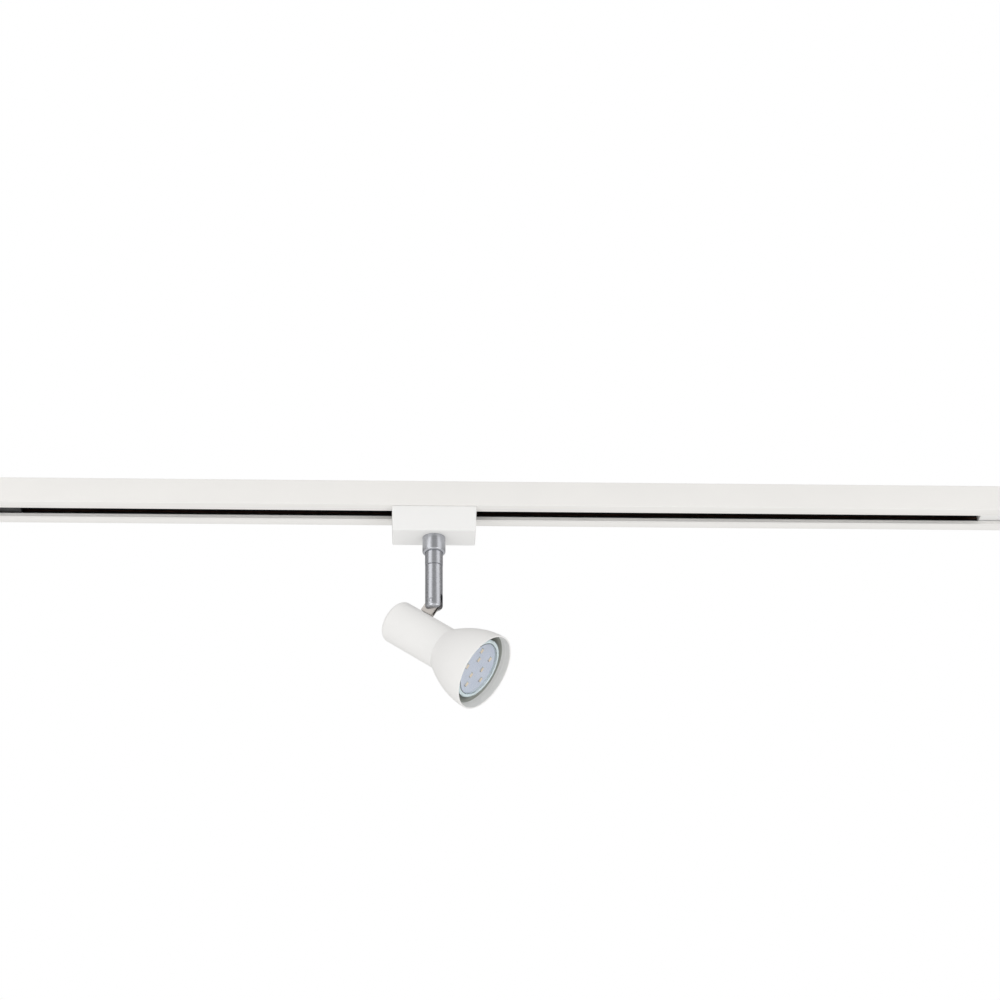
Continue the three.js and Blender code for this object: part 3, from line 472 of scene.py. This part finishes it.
liner_black = finished("liner_plastic", peel, {
    "Colour": (0.006, 0.006, 0.007, 1),
    "Shade": (0.009, 0.009, 0.010, 1),
    "Grain Scale": 2200,
    "Smooth": 0.42,
    "Rough": 0.6,
}, bump=0.15, lift=0.0001)
# The copper is darkened well below its own colour: painted shade for the dark slot the conductors
# lie in.
copper_with_painted_shade = finished("copper_with_painted_shade", lines_group, {
    "Colour": (0.22, 0.12, 0.085, 1),
    "Shade": (0.15, 0.085, 0.06, 1),
    "Grain Scale": 60,
    "Stretch": (0.4, 40, 40),
    "Smooth": 0.22,
    "Rough": 0.42,
}, bump=0.15, lift=0.00005, metallic=1.0)


def coat(material, *names):
    """Gives CAD nodes that keep their shape a material."""
    for name in names:
        frame["nodes"][name].material_slots[0].material = material


coat(liner_black, "track_insulator", "feed_plug")
coat(copper_with_painted_shade, "live_conductor", "neutral_conductor", "earth_strip")

# ---------- dead end cap ----------
# A moulded white cap closes the track's right end. Its tongue pushes into the liner, and its
# outside edges are rounded.

moulded_white = finished("moulded_white_plastic", peel, {
    "Colour": (0.875, 0.872, 0.862, 1),
    "Shade": (0.86, 0.858, 0.85, 1),
    "Grain Scale": 1900,
    "Smooth": 0.34,
    "Rough": 0.44,
}, bump=0.1, lift=0.00008)


def block(low_corner, high_corner, radius=0.0, steps=3):
    """A block between two corners, its edges rounded where a radius is given."""
    shape = bmesh.new()
    bmesh.ops.create_cube(shape, size=1)
    low_corner, high_corner = Vector(low_corner), Vector(high_corner)
    size = high_corner - low_corner
    bmesh.ops.scale(shape, vec=size, verts=shape.verts)
    bmesh.ops.translate(shape, vec=(low_corner + high_corner) / 2, verts=shape.verts)
    if radius:
        bmesh.ops.bevel(shape, geom=shape.edges, offset=radius, segments=steps,
                        profile=0.5, affect="EDGES", clamp_overlap=True)
    return shape


low, high = box_mm("dead_end_cap")
cap_thickness, cap_edge = 4, 1.6
plate = worked(
    block((high.x - 2 * cap_thickness, low.y, low.z), high, cap_edge, 5), "DIFFERENCE",
    block((high.x - 3 * cap_thickness, low.y - 1, low.z - 1),
          (high.x - cap_thickness, high.y + 1, 1)))
tongue_half, tongue_low, tongue_high = 12.55, -18.5, -5.1
tongue = block((low.x, -tongue_half, tongue_low),
               (high.x - cap_thickness / 2, tongue_half, tongue_high), 0.5, 2)
add_piece("moulded_end_cap", worked(plate, "UNION", tongue),
          moulded_white, "track", ["dead_end_cap"])

# ---------- live end feed ----------
# A moulded white box feeds mains into the track's left end. Its mains hole is in the ceiling
# face, with a rubber grommet, and one screw holds the cover that closes it from below.

low, high = box_mm("feed_housing")
cover_low, cover_high = box_mm("feed_cover")
feed_wall, feed_edge, mains_hole = 1.8, 1.6, 6
door_half, door_low, door_high = 13.05, -19, -4.6
boss_radius, screw_bore, screw_seat, seat_depth = 4, 1.4, 3.25, 1.1
mains_at = (low.x + 15, 0)
screw_at = (low.x + 61, 0)
shell = block(low, (high.x, high.y, high.z + 3), feed_edge, 4)
shell = worked(
    shell, "DIFFERENCE",
    block((low.x - 1, low.y - 1, high.z), (high.x + 1, high.y + 1, high.z + 5)),
    block((low.x + feed_wall, low.y + feed_wall, low.z - 1),
          (high.x - feed_wall, high.y - feed_wall, -feed_wall)),
    drill(mains_hole, -feed_wall - 1, 1, mains_at, 64),
    block((high.x - feed_wall - 1, -door_half, door_low), (high.x + 1, door_half, door_high)))
boss = worked(drill(boss_radius, cover_high.z + 0.2, -feed_wall / 2, screw_at), "DIFFERENCE",
              drill(screw_bore, low.z, -2 * feed_wall, screw_at))
add_piece("moulded_feed_box", worked(shell, "UNION", boss),
          moulded_white, "track", ["feed_housing"])

cover = block((cover_low.x, cover_low.y, cover_low.z),
              (cover_high.x, cover_high.y, cover_high.z), 0.35, 2)
cover = worked(cover, "DIFFERENCE",
               drill(screw_bore, cover_low.z - 1, cover_high.z + 1, screw_at),
               drill(screw_seat, cover_low.z - 1, cover_low.z + seat_depth, screw_at))
add_piece("moulded_feed_cover", cover, moulded_white, "track", ["feed_cover"])

zinc_plate = finished("zinc_plated_steel", lines_group, {
    "Colour": (0.62, 0.63, 0.64, 1),
    "Shade": (0.54, 0.56, 0.58, 1),
    "Grain Scale": 900,
    "Stretch": (1, 1, 1.6),
    "Smooth": 0.28,
    "Rough": 0.44,
}, bump=0.12, lift=0.00004, metallic=1.0)


def arc_angles(degrees, parts):
    """The angles that divide an arc into equal parts, in radians."""
    return [math.radians(degrees * k / parts) for k in range(parts + 1)]


def cross_screw(head_radius, head_height, shank_radius, length):
    """A pan-head screw: its head's top is at zero, with a cross recess, and its shank runs up."""
    crown, core = head_height * 0.4, shank_radius * 0.8
    head = [(0, 0), (head_radius - 2 * crown, 0.02)]
    head += [
        (head_radius - crown + crown * math.sin(a), crown - crown * math.cos(a))
        for a in arc_angles(90, 6)
    ]
    ridges = []
    pitch = shank_radius * 0.55
    at = head_height + 0.5
    while at + pitch < head_height + length - shank_radius:
        ridges += [(core, at), (shank_radius, at + pitch / 2)]
        at += pitch
    profile = head + [(head_radius, head_height), (core, head_height)] + ridges
    profile += [(core, head_height + length - shank_radius), (0, head_height + length)]
    arm, width, depth_of = head_radius * 0.62, head_radius * 0.11, head_height * 0.6
    return worked(turned(profile, 36), "DIFFERENCE",
                  block((-arm, -width, -1), (arm, width, depth_of)),
                  block((-width, -arm, -1), (width, arm, depth_of)))


low, high = box_mm("feed_cover_screw")
feed_screw = cross_screw(head_radius=3.1, head_height=0.9, shank_radius=1.25, length=9)
add_piece("feed_cross_screw", moved(feed_screw, Matrix.Translation((*screw_at, low.z))),
          zinc_plate, "track", ["feed_cover_screw"])

low, high = box_mm("mains_grommet")
grommet_bore, grommet_waist, grommet_flange = 4.2, 5.8, 7.4
flange_height, flange_ease, waist_ease, bore_ease = 1.4, 0.5, 0.3, 0.4
grommet = turned([
    (grommet_bore + bore_ease, high.z),
    (grommet_waist - waist_ease, high.z),
    (grommet_waist, high.z - waist_ease),
    (grommet_waist, low.z + flange_height),
    (grommet_flange - flange_ease, low.z + flange_height),
    (grommet_flange, low.z + flange_height - flange_ease),
    (grommet_flange, low.z + flange_ease),
    (grommet_flange - flange_ease, low.z),
    (grommet_bore + bore_ease, low.z),
    (grommet_bore, low.z + bore_ease),
    (grommet_bore, high.z - bore_ease),
    (grommet_bore + bore_ease, high.z),
], 64)
add_piece("rubber_grommet", moved(grommet, Matrix.Translation((*mains_at, 0))), liner_black,
          "track", ["mains_grommet"])

pale_ceramic = finished("pale_ceramic", peel, {
    "Colour": (0.80, 0.78, 0.73, 1),
    "Shade": (0.74, 0.72, 0.66, 1),
    "Grain Scale": 2600,
    "Smooth": 0.45,
    "Rough": 0.65,
}, bump=0.25, lift=0.0001)
coat(pale_ceramic, "feed_terminal_block", "adapter_terminal_block")

# ---------- adapter ----------
# The adapter's box is moulded in white plastic and narrows downwards. A lid with two screws
# closes it under the track, and the stem's nipple passes through its floor.

adapter_x = frame["joints"][1]["pos_m"][0] / MM
low, high = box_mm("adapter_housing")
top_half = Vector(((high.x - low.x) / 2, (high.y - low.y) / 2))
foot_half = Vector((34.0, 13.8))
box_wall, box_floor, box_edge, inner_edge = 1.8, 2.0, 1.1, 1.0


def tapered(inset, bottom_z, top_z, edge, steps):
    """A box that narrows downwards with the adapter's slope, its side and bottom edges rounded."""
    shape = bmesh.new()
    bmesh.ops.create_cube(shape, size=2)
    for corner in shape.verts:
        z = top_z if corner.co.z > 0 else bottom_z
        share = (z - low.z) / (high.z - low.z)
        reach = foot_half + (top_half - foot_half) * share - Vector((inset, inset))
        corner.co = Vector((corner.co.x * reach.x, corner.co.y * reach.y, z))
    softened = [e for e in shape.edges if min(v.co.z for v in e.verts) < top_z - 0.01]
    bmesh.ops.bevel(shape, geom=softened, offset=edge, segments=steps, profile=0.5,
                    affect="EDGES", clamp_overlap=True)
    return shape


lid_screw_x, lid_boss_top = 27.5, -24.9
lid_boss_radius, lid_screw_bore, bore_low, bore_high, nipple_hole = 3, 1.35, -34, -23, 5.2
bosses = [
    worked(drill(lid_boss_radius, low.z + 1, lid_boss_top, (side * lid_screw_x, 0)),
           "DIFFERENCE", drill(lid_screw_bore, bore_low, bore_high, (side * lid_screw_x, 0)))
    for side in (-1, 1)
]
housing = worked(tapered(0, low.z, high.z, box_edge, 6), "DIFFERENCE",
                 tapered(box_wall, low.z + box_floor, high.z + 1, inner_edge, 3),
                 drill(nipple_hole, low.z - 1, low.z + 3, (0, 0), 64))
housing = worked(housing, "UNION", *bosses)
add_piece("moulded_adapter_box", moved(housing, Matrix.Translation((adapter_x, 0, 0))),
          moulded_white, "adapter", ["adapter_housing"])
coat(moulded_white, "adapter_lid")
coat(zinc_plate, "lid_screw_1", "lid_screw_2")

# ---------- contact head ----------
# A black insulating post stands through the adapter's lid and the track's slot. Its wings turn
# across the lips, with a copper contact on each end and a leaf spring for the earth on top.

coat(liner_black, "contact_head")
coat(copper_with_painted_shade, "live_contact", "neutral_contact", "earth_contact")

# ---------- collar and upper stem ----------
# A turned steel tube hangs from the adapter on a threaded nipple, and a collar with a rolled
# lower edge covers the joint. Both are satin chromed, with faint turning lines around them.

satin_chrome = finished("satin_chrome", lines_group, {
    "Colour": (0.50, 0.51, 0.54, 1),
    "Shade": (0.48, 0.49, 0.525, 1),
    "Grain Scale": 60,
    "Stretch": (0.5, 0.5, 60),
    "Smooth": 0.25,
    "Rough": 0.35,
}, bump=0.06, lift=0.00003, metallic=1.0)



def low_corner(radius, level, ease, parts):
    """The arc from a flat bottom at a level round to an upright side."""
    return [
        (radius - ease * (1 - math.sin(a)), level + ease * (1 - math.cos(a)))
        for a in arc_angles(90, parts)
    ]


def high_corner(radius, level, ease, parts):
    """The arc from an upright side round to a flat top at a level."""
    return [
        (radius - ease * (1 - math.cos(a)), level - ease * (1 - math.sin(a)))
        for a in arc_angles(90, parts)
    ]


stem_place = Matrix.Translation((adapter_x * MM, 0, 0))
low, high = box_mm("stem_collar")
collar_radius, collar_bore, collar_roll, collar_ease = (high.x - low.x) / 2, 7.4, 1.8, 0.2
collar = [
    (collar_bore, low.z + collar_ease),
    (collar_bore + collar_ease, low.z),
    *low_corner(collar_radius, low.z, collar_roll, 12),
    (collar_radius, high.z - collar_ease),
    (collar_radius - collar_ease, high.z),
    (collar_bore, high.z),
    (collar_bore, low.z + collar_ease),
]
add_piece("chromed_collar", turned(collar, 128), satin_chrome, "adapter",
          ["stem_collar"], stem_place)

low, high = box_mm("upper_stem")
stem_radius, nipple_bore, spigot_bore, step_level = (high.x - low.x) / 2, 5.2, 4.3, -62.5
stem_edge = 0.45
upper = [
    (spigot_bore, low.z),
    *low_corner(stem_radius, low.z, stem_edge, 5),
    (stem_radius, high.z),
    (nipple_bore, high.z),
    (nipple_bore, step_level),
    (spigot_bore, step_level),
    (spigot_bore, low.z),
]
add_piece("chromed_upper_stem", turned(upper, 128), satin_chrome, "adapter",
          ["upper_stem"], stem_place)
coat(zinc_plate, "threaded_nipple", "nipple_washer", "nipple_nut", "pan_stop_pin")

silicone_sleeve = finished("silicone_sleeve", peel, {
    "Colour": (0.70, 0.69, 0.66, 1),
    "Shade": (0.64, 0.63, 0.60, 1),
    "Grain Scale": 1200,
    "Smooth": 0.5,
    "Rough": 0.7,
}, bump=0.2, lift=0.0001)
coat(silicone_sleeve, "adapter_lead", "stem_lead", "head_lead")

# ---------- lower stem ----------
# The turning half is solid bar, turned down to a spigot that a circlip holds in the upper stem.
# Its lower end is rounded and slotted to a fork for the tilt joint.

tilt = Vector(frame["joints"][2]["axis"])
pan_at = Vector(frame["joints"][1]["pos_m"])
arm_place = Matrix.Translation((pan_at.x, pan_at.y, 0)) @ Matrix(
    (tilt.cross(Vector((0, 0, 1))), tilt, Vector((0, 0, 1)))).transposed().to_4x4()
low, high = box_mm("lower_stem")
bar_radius, bar_rounding, spigot_radius = 7.12, 3.0, 4.0
pin_level = frame["joints"][2]["pos_m"][2] / MM
bar_top, spigot_ease = -69.4, 0.4
bar = [
    (0, low.z),
    *low_corner(bar_radius, low.z, bar_rounding, 12),
    *high_corner(bar_radius, bar_top, stem_edge, 5),
    (spigot_radius, bar_top),
    (spigot_radius, high.z - spigot_ease),
    (spigot_radius - spigot_ease, high.z),
    (0, high.z),
]
fork_half, fork_roof, lead_bore, pin_hole = 2.5, -96.2, 2.1, 1.65
crosswise = Matrix(((1, 0, 0, 0), (0, 0, 1, 0), (0, -1, 0, 0), (0, 0, 0, 1)))


def cross_drill(radius, start, end, at):
    """A round cutter or rod along Y at (x, z)."""
    return moved(drill(radius, start, end, (0, 0)),
                 Matrix.Translation((at[0], 0, at[1])) @ crosswise)


fork_cut = block((-10, -fork_half, low.z - 2), (10, fork_half, fork_roof))
arm_bar = worked(turned(bar, 128), "DIFFERENCE", fork_cut,
                 drill(lead_bore, fork_roof - 1, high.z + 1, (0, 0)),
                 cross_drill(pin_hole, -10, 10, (0, pin_level)))
add_piece("chromed_fork_bar", arm_bar, satin_chrome, "arm", ["lower_stem"],
          arm_place)
coat(zinc_plate, "pan_stop_ring", "swivel_circlip")

# ---------- tilt joint ----------
# A folded lug of nickel-plated steel stands in the fork and turns on a chromed pin with one
# slotted end. Two screws through its foot hold it to the lamp housing.

nickel_plate = finished("warm_nickel_plate", lines_group, {
    "Colour": (0.44, 0.41, 0.385, 1),
    "Shade": (0.38, 0.36, 0.34, 1),
    "Grain Scale": 300,
    "Stretch": (1, 1, 3),
    "Smooth": 0.24,
    "Rough": 0.36,
}, bump=0.1, lift=0.00004, metallic=1.0)

pin_radius, pin_half, pin_ease, driver_half, driver_depth = 1.5, 6.9, 0.2, 0.2, 0.5
pin = drill(pin_radius, -pin_half, pin_half, (0, 0))
rims = [
    e for e in pin.edges
    if e.calc_length() < 0.3 and len(e.link_faces) == 2
    and all(abs(abs(v.co.z) - pin_half) < 0.01 and v.co.xy.length > 1 for v in e.verts)
]
bmesh.ops.bevel(pin, geom=rims, offset=pin_ease, segments=2, profile=0.5, affect="EDGES")
pin = worked(pin, "DIFFERENCE", block((-2, -driver_half, pin_half - driver_depth),
                                      (2, driver_half, pin_half + 1)))
add_piece("slotted_tilt_pin", moved(pin, Matrix.Translation((0, 0, pin_level)) @ crosswise),
          satin_chrome, "arm", ["tilt_pin"], arm_place)

aim_axis = Vector(frame["joints"][3]["axis"])
lamp_at = Vector(frame["joints"][3]["pos_m"])
tilt_at = Vector(frame["joints"][2]["pos_m"])
head_drop = (tilt_at - lamp_at).length / MM
head_place = Matrix.Translation(lamp_at) @ Matrix(
    (aim_axis, tilt, aim_axis.cross(tilt))).transposed().to_4x4()

lug_half, lug_cheek, lug_base, lug_radius, lug_foot = 2.2, 1.2, 1.6, 5.5, head_drop - 10.25
lug_corner, lug_ease, fold_radius = 0.3, 0.18, 0.25
lug_screw_x, lug_screw_bore, lead_hole = 3.8, 1.15, 1.4
foot_hole = (10, lug_foot + 2.6)
lug = [(-lug_radius, lug_foot, lug_corner), (lug_radius, lug_foot, lug_corner)]
lug += [
    (lug_radius * math.cos(a), head_drop + lug_radius * math.sin(a), 0)
    for a in arc_angles(180, 30)
]


def along_tilt(a, b, station):
    return a, station, b


plate = drawn_out(rounded(lug), -lug_half, lug_half, along_tilt)
flat = [e for e in plate.edges if e.is_manifold and e.calc_face_angle(0) > 1.2
        and abs(e.verts[0].co.y - e.verts[1].co.y) < 0.01]
bmesh.ops.bevel(plate, geom=flat, offset=lug_ease, segments=2, profile=0.5, affect="EDGES",
                clamp_overlap=True)
lug_inside = block((-8, -lug_half + lug_cheek, lug_foot + lug_base),
                   (8, lug_half - lug_cheek, 40), fold_radius, 2)
screw_holes = [
    drill(lug_screw_bore, *foot_hole, (x, 0)) for x in (-lug_screw_x, lug_screw_x)
]
lug_plate = worked(plate, "DIFFERENCE", lug_inside,
                   cross_drill(pin_hole, -4, 4, (0, head_drop)),
                   drill(lead_hole, *foot_hole, (0, 0)), *screw_holes)
add_piece("folded_nickel_lug", lug_plate, nickel_plate, "head", ["tilt_bracket"],
          head_place)

# ---------- lamp housing ----------
# One steel shell: a drawn cup with a rounded back, spun out at its front to a bell. Its mouth
# is trimmed and eased, spinning rings show inside it, and it is powder coated matt white.

housing_white = finished("housing_powder_coat", peel, {
    "Colour": (0.88, 0.873, 0.862, 1),
    "Shade": (0.865, 0.858, 0.848, 1),
    "Grain Scale": 1300,
    "Smooth": 0.55,
    "Rough": 0.66,
}, bump=0.1, lift=0.0001)

shell_wall, rear_reach, neck_reach, bell_length = 1.2, 21.0, 33.5, 41.8
inside_radius, rear_fillet = 16.55, 3.6
outside_radius = inside_radius + shell_wall
mouth_reach, mouth_radius, mouth_ease = neck_reach + bell_length, 32.0, 0.35
# The second of these is how far forward the painted shade inside the bell reaches.
bell_steps, painted_shade_reach, wall_hole = 26, 67.2, (10, 20)


def bell(share, neck, mouth):
    """The bell's radius, from its neck (0) to its mouth (1)."""
    return neck + (mouth - neck) * (1 - (1 - share) ** 2)


profile = [(0, -rear_reach), *low_corner(outside_radius, -rear_reach, rear_fillet, 10)]
profile += [
    (bell(k / bell_steps, outside_radius, mouth_radius), neck_reach + bell_length * k / bell_steps)
    for k in range(bell_steps)
]
mouth_middle = mouth_radius - shell_wall / 2
profile += [
    (mouth_middle + shell_wall / 2 * math.cos(a),
     mouth_reach - mouth_ease + mouth_ease * math.sin(a))
    for a in arc_angles(180, 12)
]
stations = [(neck_reach + bell_length * k / bell_steps, 0) for k in range(bell_steps)]
ring_half, ring_depth = 0.3, 0.16
for ring in (65.5, 68.1, 70.7):
    stations += [(ring - ring_half, 0), (ring, ring_depth), (ring + ring_half, 0)]
profile += [
    (bell((at - neck_reach) / bell_length, inside_radius, mouth_radius - shell_wall) + deep, at)
    for at, deep in sorted(stations, reverse=True)
]
inner_fillet, rear_inside = rear_fillet - shell_wall, -rear_reach + shell_wall
profile += [*reversed(low_corner(inside_radius, rear_inside, inner_fillet, 6)), (0, rear_inside)]
lengthwise = Matrix(((0, 0, 1, 0), (1, 0, 0, 0), (0, 1, 0, 0), (0, 0, 0, 1)))
spun = worked(moved(turned(profile, 160), lengthwise), "DIFFERENCE",
              drill(lead_hole, *wall_hole, (0, 0)),
              *[drill(lug_screw_bore, *wall_hole, (x, 0)) for x in (-lug_screw_x, lug_screw_x)])
housing_piece = add_piece("spun_lamp_housing", spun, housing_white, "head",
                          ["lamp_housing"], head_place, sharp=28)

# The bottom of the bell's inside is painted greyer, to just behind the lamp's face: painted shade
# for the shade that falls deep inside the bell.
bell_painted_shade_coat = finished("bell_inside_painted_shade", peel, {
    "Colour": (0.50, 0.50, 0.46, 1),
    "Shade": (0.46, 0.46, 0.42, 1),
    "Grain Scale": 1300,
    "Smooth": 0.4,
    "Rough": 0.55,
}, bump=0.1, lift=0.0001)
housing_piece.data.materials.append(bell_painted_shade_coat)
from_head = head_place.inverted()
for face in housing_piece.data.polygons:
    along, *aside = (from_head @ face.center) / MM
    share = min(max((along - neck_reach) / bell_length, 0), 1)
    wall_middle = bell(share, inside_radius, mouth_radius - shell_wall) + shell_wall / 2
    if inner_fillet - rear_reach < along < painted_shade_reach and Vector(aside).length < wall_middle:
        face.material_index = 1

# ---------- lampholder ----------
# A GU10 holder of ceramic stands in the cup. Two screws hold it to a zinc-plated bridge, whose
# foot the lug's screws clamp under the housing's wall.

coat(zinc_plate, "holder_bridge", "bracket_screw_1", "bracket_screw_2", "holder_screw_1",
     "holder_screw_2")
coat(pale_ceramic, "lampholder")

# ---------- reflector lamp ----------
# A 50 mm lamp of pressed glass on a ceramic base, with two nickel pins that twist into the
# holder. Its front glass has a thick rim, which is moulded with small notches.

coat(nickel_plate, "lamp_pin_1", "lamp_pin_2")
coat(pale_ceramic, "lamp_base")

# Pressed glass: slow ripples in its surface and a faint haze in places.
ripple, given, result = group_of("pressed_glass", (
    ("Scale", "NodeSocketFloat", 90),
    ("Clear", "NodeSocketFloat", 0.01),
    ("Hazy", "NodeSocketFloat", 0.05),
), (("Roughness", "NodeSocketFloat"), ("Height", "NodeSocketFloat")))
wave = noise_in(ripple, given.outputs["Scale"], 2)
ripple.links.new(wave, result.inputs["Height"])
ripple.links.new(spread(ripple, noise_in(ripple, 300, 2), given.outputs["Clear"],
                        given.outputs["Hazy"]), result.inputs["Roughness"])


def glass(name, colour, scale, lift, clear=1.0):
    """Glass that lets light through to what is behind it; clear is how much of it passes."""
    material = bpy.data.materials.new(name)
    material.use_nodes = True
    tree = material.node_tree
    principled = tree.nodes["Principled BSDF"]
    principled.inputs["Base Color"].default_value = colour
    principled.inputs["Transmission Weight"].default_value = clear
    principled.inputs["IOR"].default_value = 1.47
    effect = tree.nodes.new("ShaderNodeGroup")
    effect.node_tree = ripple
    effect.inputs["Scale"].default_value = scale
    grain = tree.nodes.new("ShaderNodeBump")
    grain.inputs["Strength"].default_value = 0.3
    grain.inputs["Distance"].default_value = lift
    tree.links.new(effect.outputs["Roughness"], principled.inputs["Roughness"])
    tree.links.new(effect.outputs["Height"], grain.inputs["Height"])
    tree.links.new(grain.outputs["Normal"], principled.inputs["Normal"])
    shadow = tree.nodes.new("ShaderNodeLightPath")
    through = tree.nodes.new("ShaderNodeBsdfTransparent")
    through.inputs["Color"].default_value = colour
    either = tree.nodes.new("ShaderNodeMixShader")
    tree.links.new(shadow.outputs["Is Shadow Ray"], either.inputs["Fac"])
    tree.links.new(principled.outputs[0], either.inputs[1])
    tree.links.new(through.outputs[0], either.inputs[2])
    tree.links.new(either.outputs[0], tree.nodes["Material Output"].inputs["Surface"])
    return material


clear_glass = glass("front_glass", (1, 1, 1, 1), 60, 0.0001)
rim_glass = glass("rim_glass", (0.86, 0.97, 1, 1), 60, 0.0002, 0.3)
shell_glass = glass("shell_glass", (0.80, 0.93, 0.95, 1), 90, 0.0003)

lamp_radius, lamp_face = 25.0, 69.0
rim_inner, rim_back, lens_back, lens_ease = 22.2, 64.1, 67.4, 1.0
glass_ease, rim_gap, rim_ease = 0.3, 0.05, 0.2
front = turned([
    (0, lens_back),
    (rim_inner - glass_ease, lens_back),
    (rim_inner, lens_back + glass_ease),
    (rim_inner, lamp_face - glass_ease),
    (rim_inner - glass_ease, lamp_face),
    (0, lamp_face),
], 144)
add_piece("pressed_front_glass", moved(front, lengthwise), clear_glass, "lamp",
          ["lamp_lens"], head_place)

rim_edge = rim_inner + rim_gap
rim = turned([
    (rim_edge, rim_back + rim_ease),
    (rim_edge + rim_ease, rim_back),
    (lamp_radius - glass_ease, rim_back),
    (lamp_radius, rim_back + glass_ease),
    *high_corner(lamp_radius, lamp_face, lens_ease, 6),
    (rim_edge + glass_ease, lamp_face),
    (rim_edge, lamp_face - glass_ease),
    (rim_edge, rim_back + rim_ease),
], 144)
notches, notch_depth, notch_share = 36, 0.35, 0.9
for corner in rim.verts:
    spread_out = corner.co.xy.length
    around = math.atan2(corner.co.y, corner.co.x)
    if corner.co.z > lamp_face - lens_ease and spread_out > lamp_radius - 1.05 * lens_ease \
            and math.cos(notches * around) > notch_share:
        corner.co.xy *= 1 - notch_depth / spread_out
add_piece("pressed_glass_rim", moved(rim, lengthwise), rim_glass, "lamp", (),
          head_place)

shell_back, shell_front, shell_curve = 12.2, 24.5, 0.72
shell_start, shell_end, glass_wall = 30.7, 63.9, 1.2
shell_steps = 16


def shell_line(offset):
    """The lamp's outside, from its base to its rim, set in by an offset."""
    return [
        (shell_back + (shell_front - shell_back) * (k / shell_steps) ** shell_curve - offset,
         shell_start + (shell_end - shell_start) * k / shell_steps)
        for k in range(shell_steps + 1)
    ]


seat = shell_back - 4
cone = turned([
    (seat, shell_start),
    *shell_line(0),
    *reversed(shell_line(glass_wall)[1:]),
    (shell_back - glass_wall, shell_start + glass_wall),
    (seat, shell_start + glass_wall),
    (seat, shell_start),
], 120)
add_piece("pressed_glass_shell", moved(cone, lengthwise), shell_glass, "lamp",
          ["lamp_shell"], head_place)

# ---------- LED board ----------
# A thin round board with a pale blue-white mask carries eight chips in two rings. Each chip is
# a white package around a window of yellow phosphor, with a solder joint past each of its ends.

board_group, given, result = group_of("solder_mask", GRAIN_INPUTS, GRAIN_OUTPUTS)
board_group.links.new(tinted(board_group, spread(board_group, noise_in(board_group, 160, 3), 0, 1),
                             given.outputs["Colour"], given.outputs["Shade"]),
                      result.inputs["Colour"])
board_group.links.new(spread(board_group, noise_in(board_group, 500, 2), given.outputs["Smooth"],
                             given.outputs["Rough"]), result.inputs["Roughness"])
board_group.links.new(noise_in(board_group, given.outputs["Grain Scale"], 3),
                      result.inputs["Height"])
mask_blue = finished("solder_mask_blue", board_group, {
    "Colour": (0.65, 0.71, 0.84, 1),
    "Shade": (0.61, 0.68, 0.82, 1),
    "Grain Scale": 1800,
    "Smooth": 0.35,
    "Rough": 0.5,
}, bump=0.1, lift=0.00005)
board_radius, board_back, board_face = 22.0, 64.6, 66.0
board_rim, board_ease, score_half = 0.7, 0.15, 0.12
board = turned([
    (0, board_back),
    (board_radius - board_ease, board_back),
    (board_radius, board_back + board_ease),
    (board_radius, board_face - board_ease),
    (board_radius - board_ease, board_face),
    (board_radius - board_rim, board_face),
    (board_radius - board_rim - score_half, board_face - score_half),
    (board_radius - board_rim - 2 * score_half, board_face),
    (0, board_face),
], 120)
add_piece("masked_led_board", moved(board, lengthwise), mask_blue, "lamp",
          ["lamp_board"], head_place)

package_white = finished("chip_package", board_group, {
    "Colour": (0.80, 0.78, 0.74, 1),
    "Shade": (0.74, 0.72, 0.68, 1),
    "Grain Scale": 2500,
    "Smooth": 0.4,
    "Rough": 0.5,
}, bump=0.1, lift=0.00003)
phosphor = finished("yellow_phosphor", board_group, {
    "Colour": (0.97, 0.82, 0.58, 1),
    "Shade": (0.94, 0.76, 0.50, 1),
    "Grain Scale": 4000,
    "Smooth": 0.3,
    "Rough": 0.42,
}, bump=0.2, lift=0.00003)
solder = finished("dull_solder", lines_group, {
    "Colour": (0.20, 0.20, 0.21, 1),
    "Shade": (0.13, 0.13, 0.14, 1),
    "Grain Scale": 2000,
    "Smooth": 0.3,
    "Rough": 0.5,
}, bump=0.2, lift=0.00003, metallic=1.0)
chip_half, chip_height, chip_edge, chip_stand = Vector((1.4, 1.75)), 0.7, 0.15, 0.1
window_half, window_floor, window_edge = Vector((1.3, 1.6)), 0.5, 0.1
fill_floor, fill_gap, fill_sink, fill_edge = 0.45, 0.02, 0.03, 0.08
joint_reach, joint_height, joint_gap, joint_inset, joint_edge = 0.4, 0.35, 0.02, 0.1, 0.12
rings = ((5, 15.3, 70.6), (3, 7.8, 14.7))
places = [(radius, turn + 360 * i / count) for count, radius, turn in rings for i in range(count)]
for number, (radius, turn) in enumerate(places, 1):
    y = -radius * math.sin(math.radians(turn))
    z = -radius * math.cos(math.radians(turn))
    back = board_face + chip_stand
    package = worked(
        block((back, y - chip_half.x, z - chip_half.y),
              (back + chip_height, y + chip_half.x, z + chip_half.y), chip_edge, 2),
        "DIFFERENCE",
        block((back + window_floor, y - window_half.x, z - window_half.y),
              (back + 2, y + window_half.x, z + window_half.y), window_edge, 1))
    add_piece(f"chip_package_{number}", package, package_white, "lamp",
              [f"led_chip_{number}"], head_place)
    reach_y, reach_z = window_half.x - fill_gap, window_half.y - fill_gap
    fill = block((back + fill_floor, y - reach_y, z - reach_z),
                 (back + chip_height - fill_sink, y + reach_y, z + reach_z), fill_edge, 2)
    add_piece(f"chip_phosphor_{number}", fill, phosphor, "lamp", (), head_place)
    joint_half = chip_half.x - joint_inset
    for end, mark in ((1, "a"), (-1, "b")):
        near, far = z + end * (chip_half.y + joint_gap), z + end * (chip_half.y + joint_reach)
        joint = block((board_face + joint_gap, y - joint_half, min(near, far)),
                      (board_face + joint_height, y + joint_half, max(near, far)), joint_edge, 2)
        add_piece(f"chip_solder_{number}_{mark}", joint, solder, "lamp", (), head_place)

bpy.context.view_layer.update()
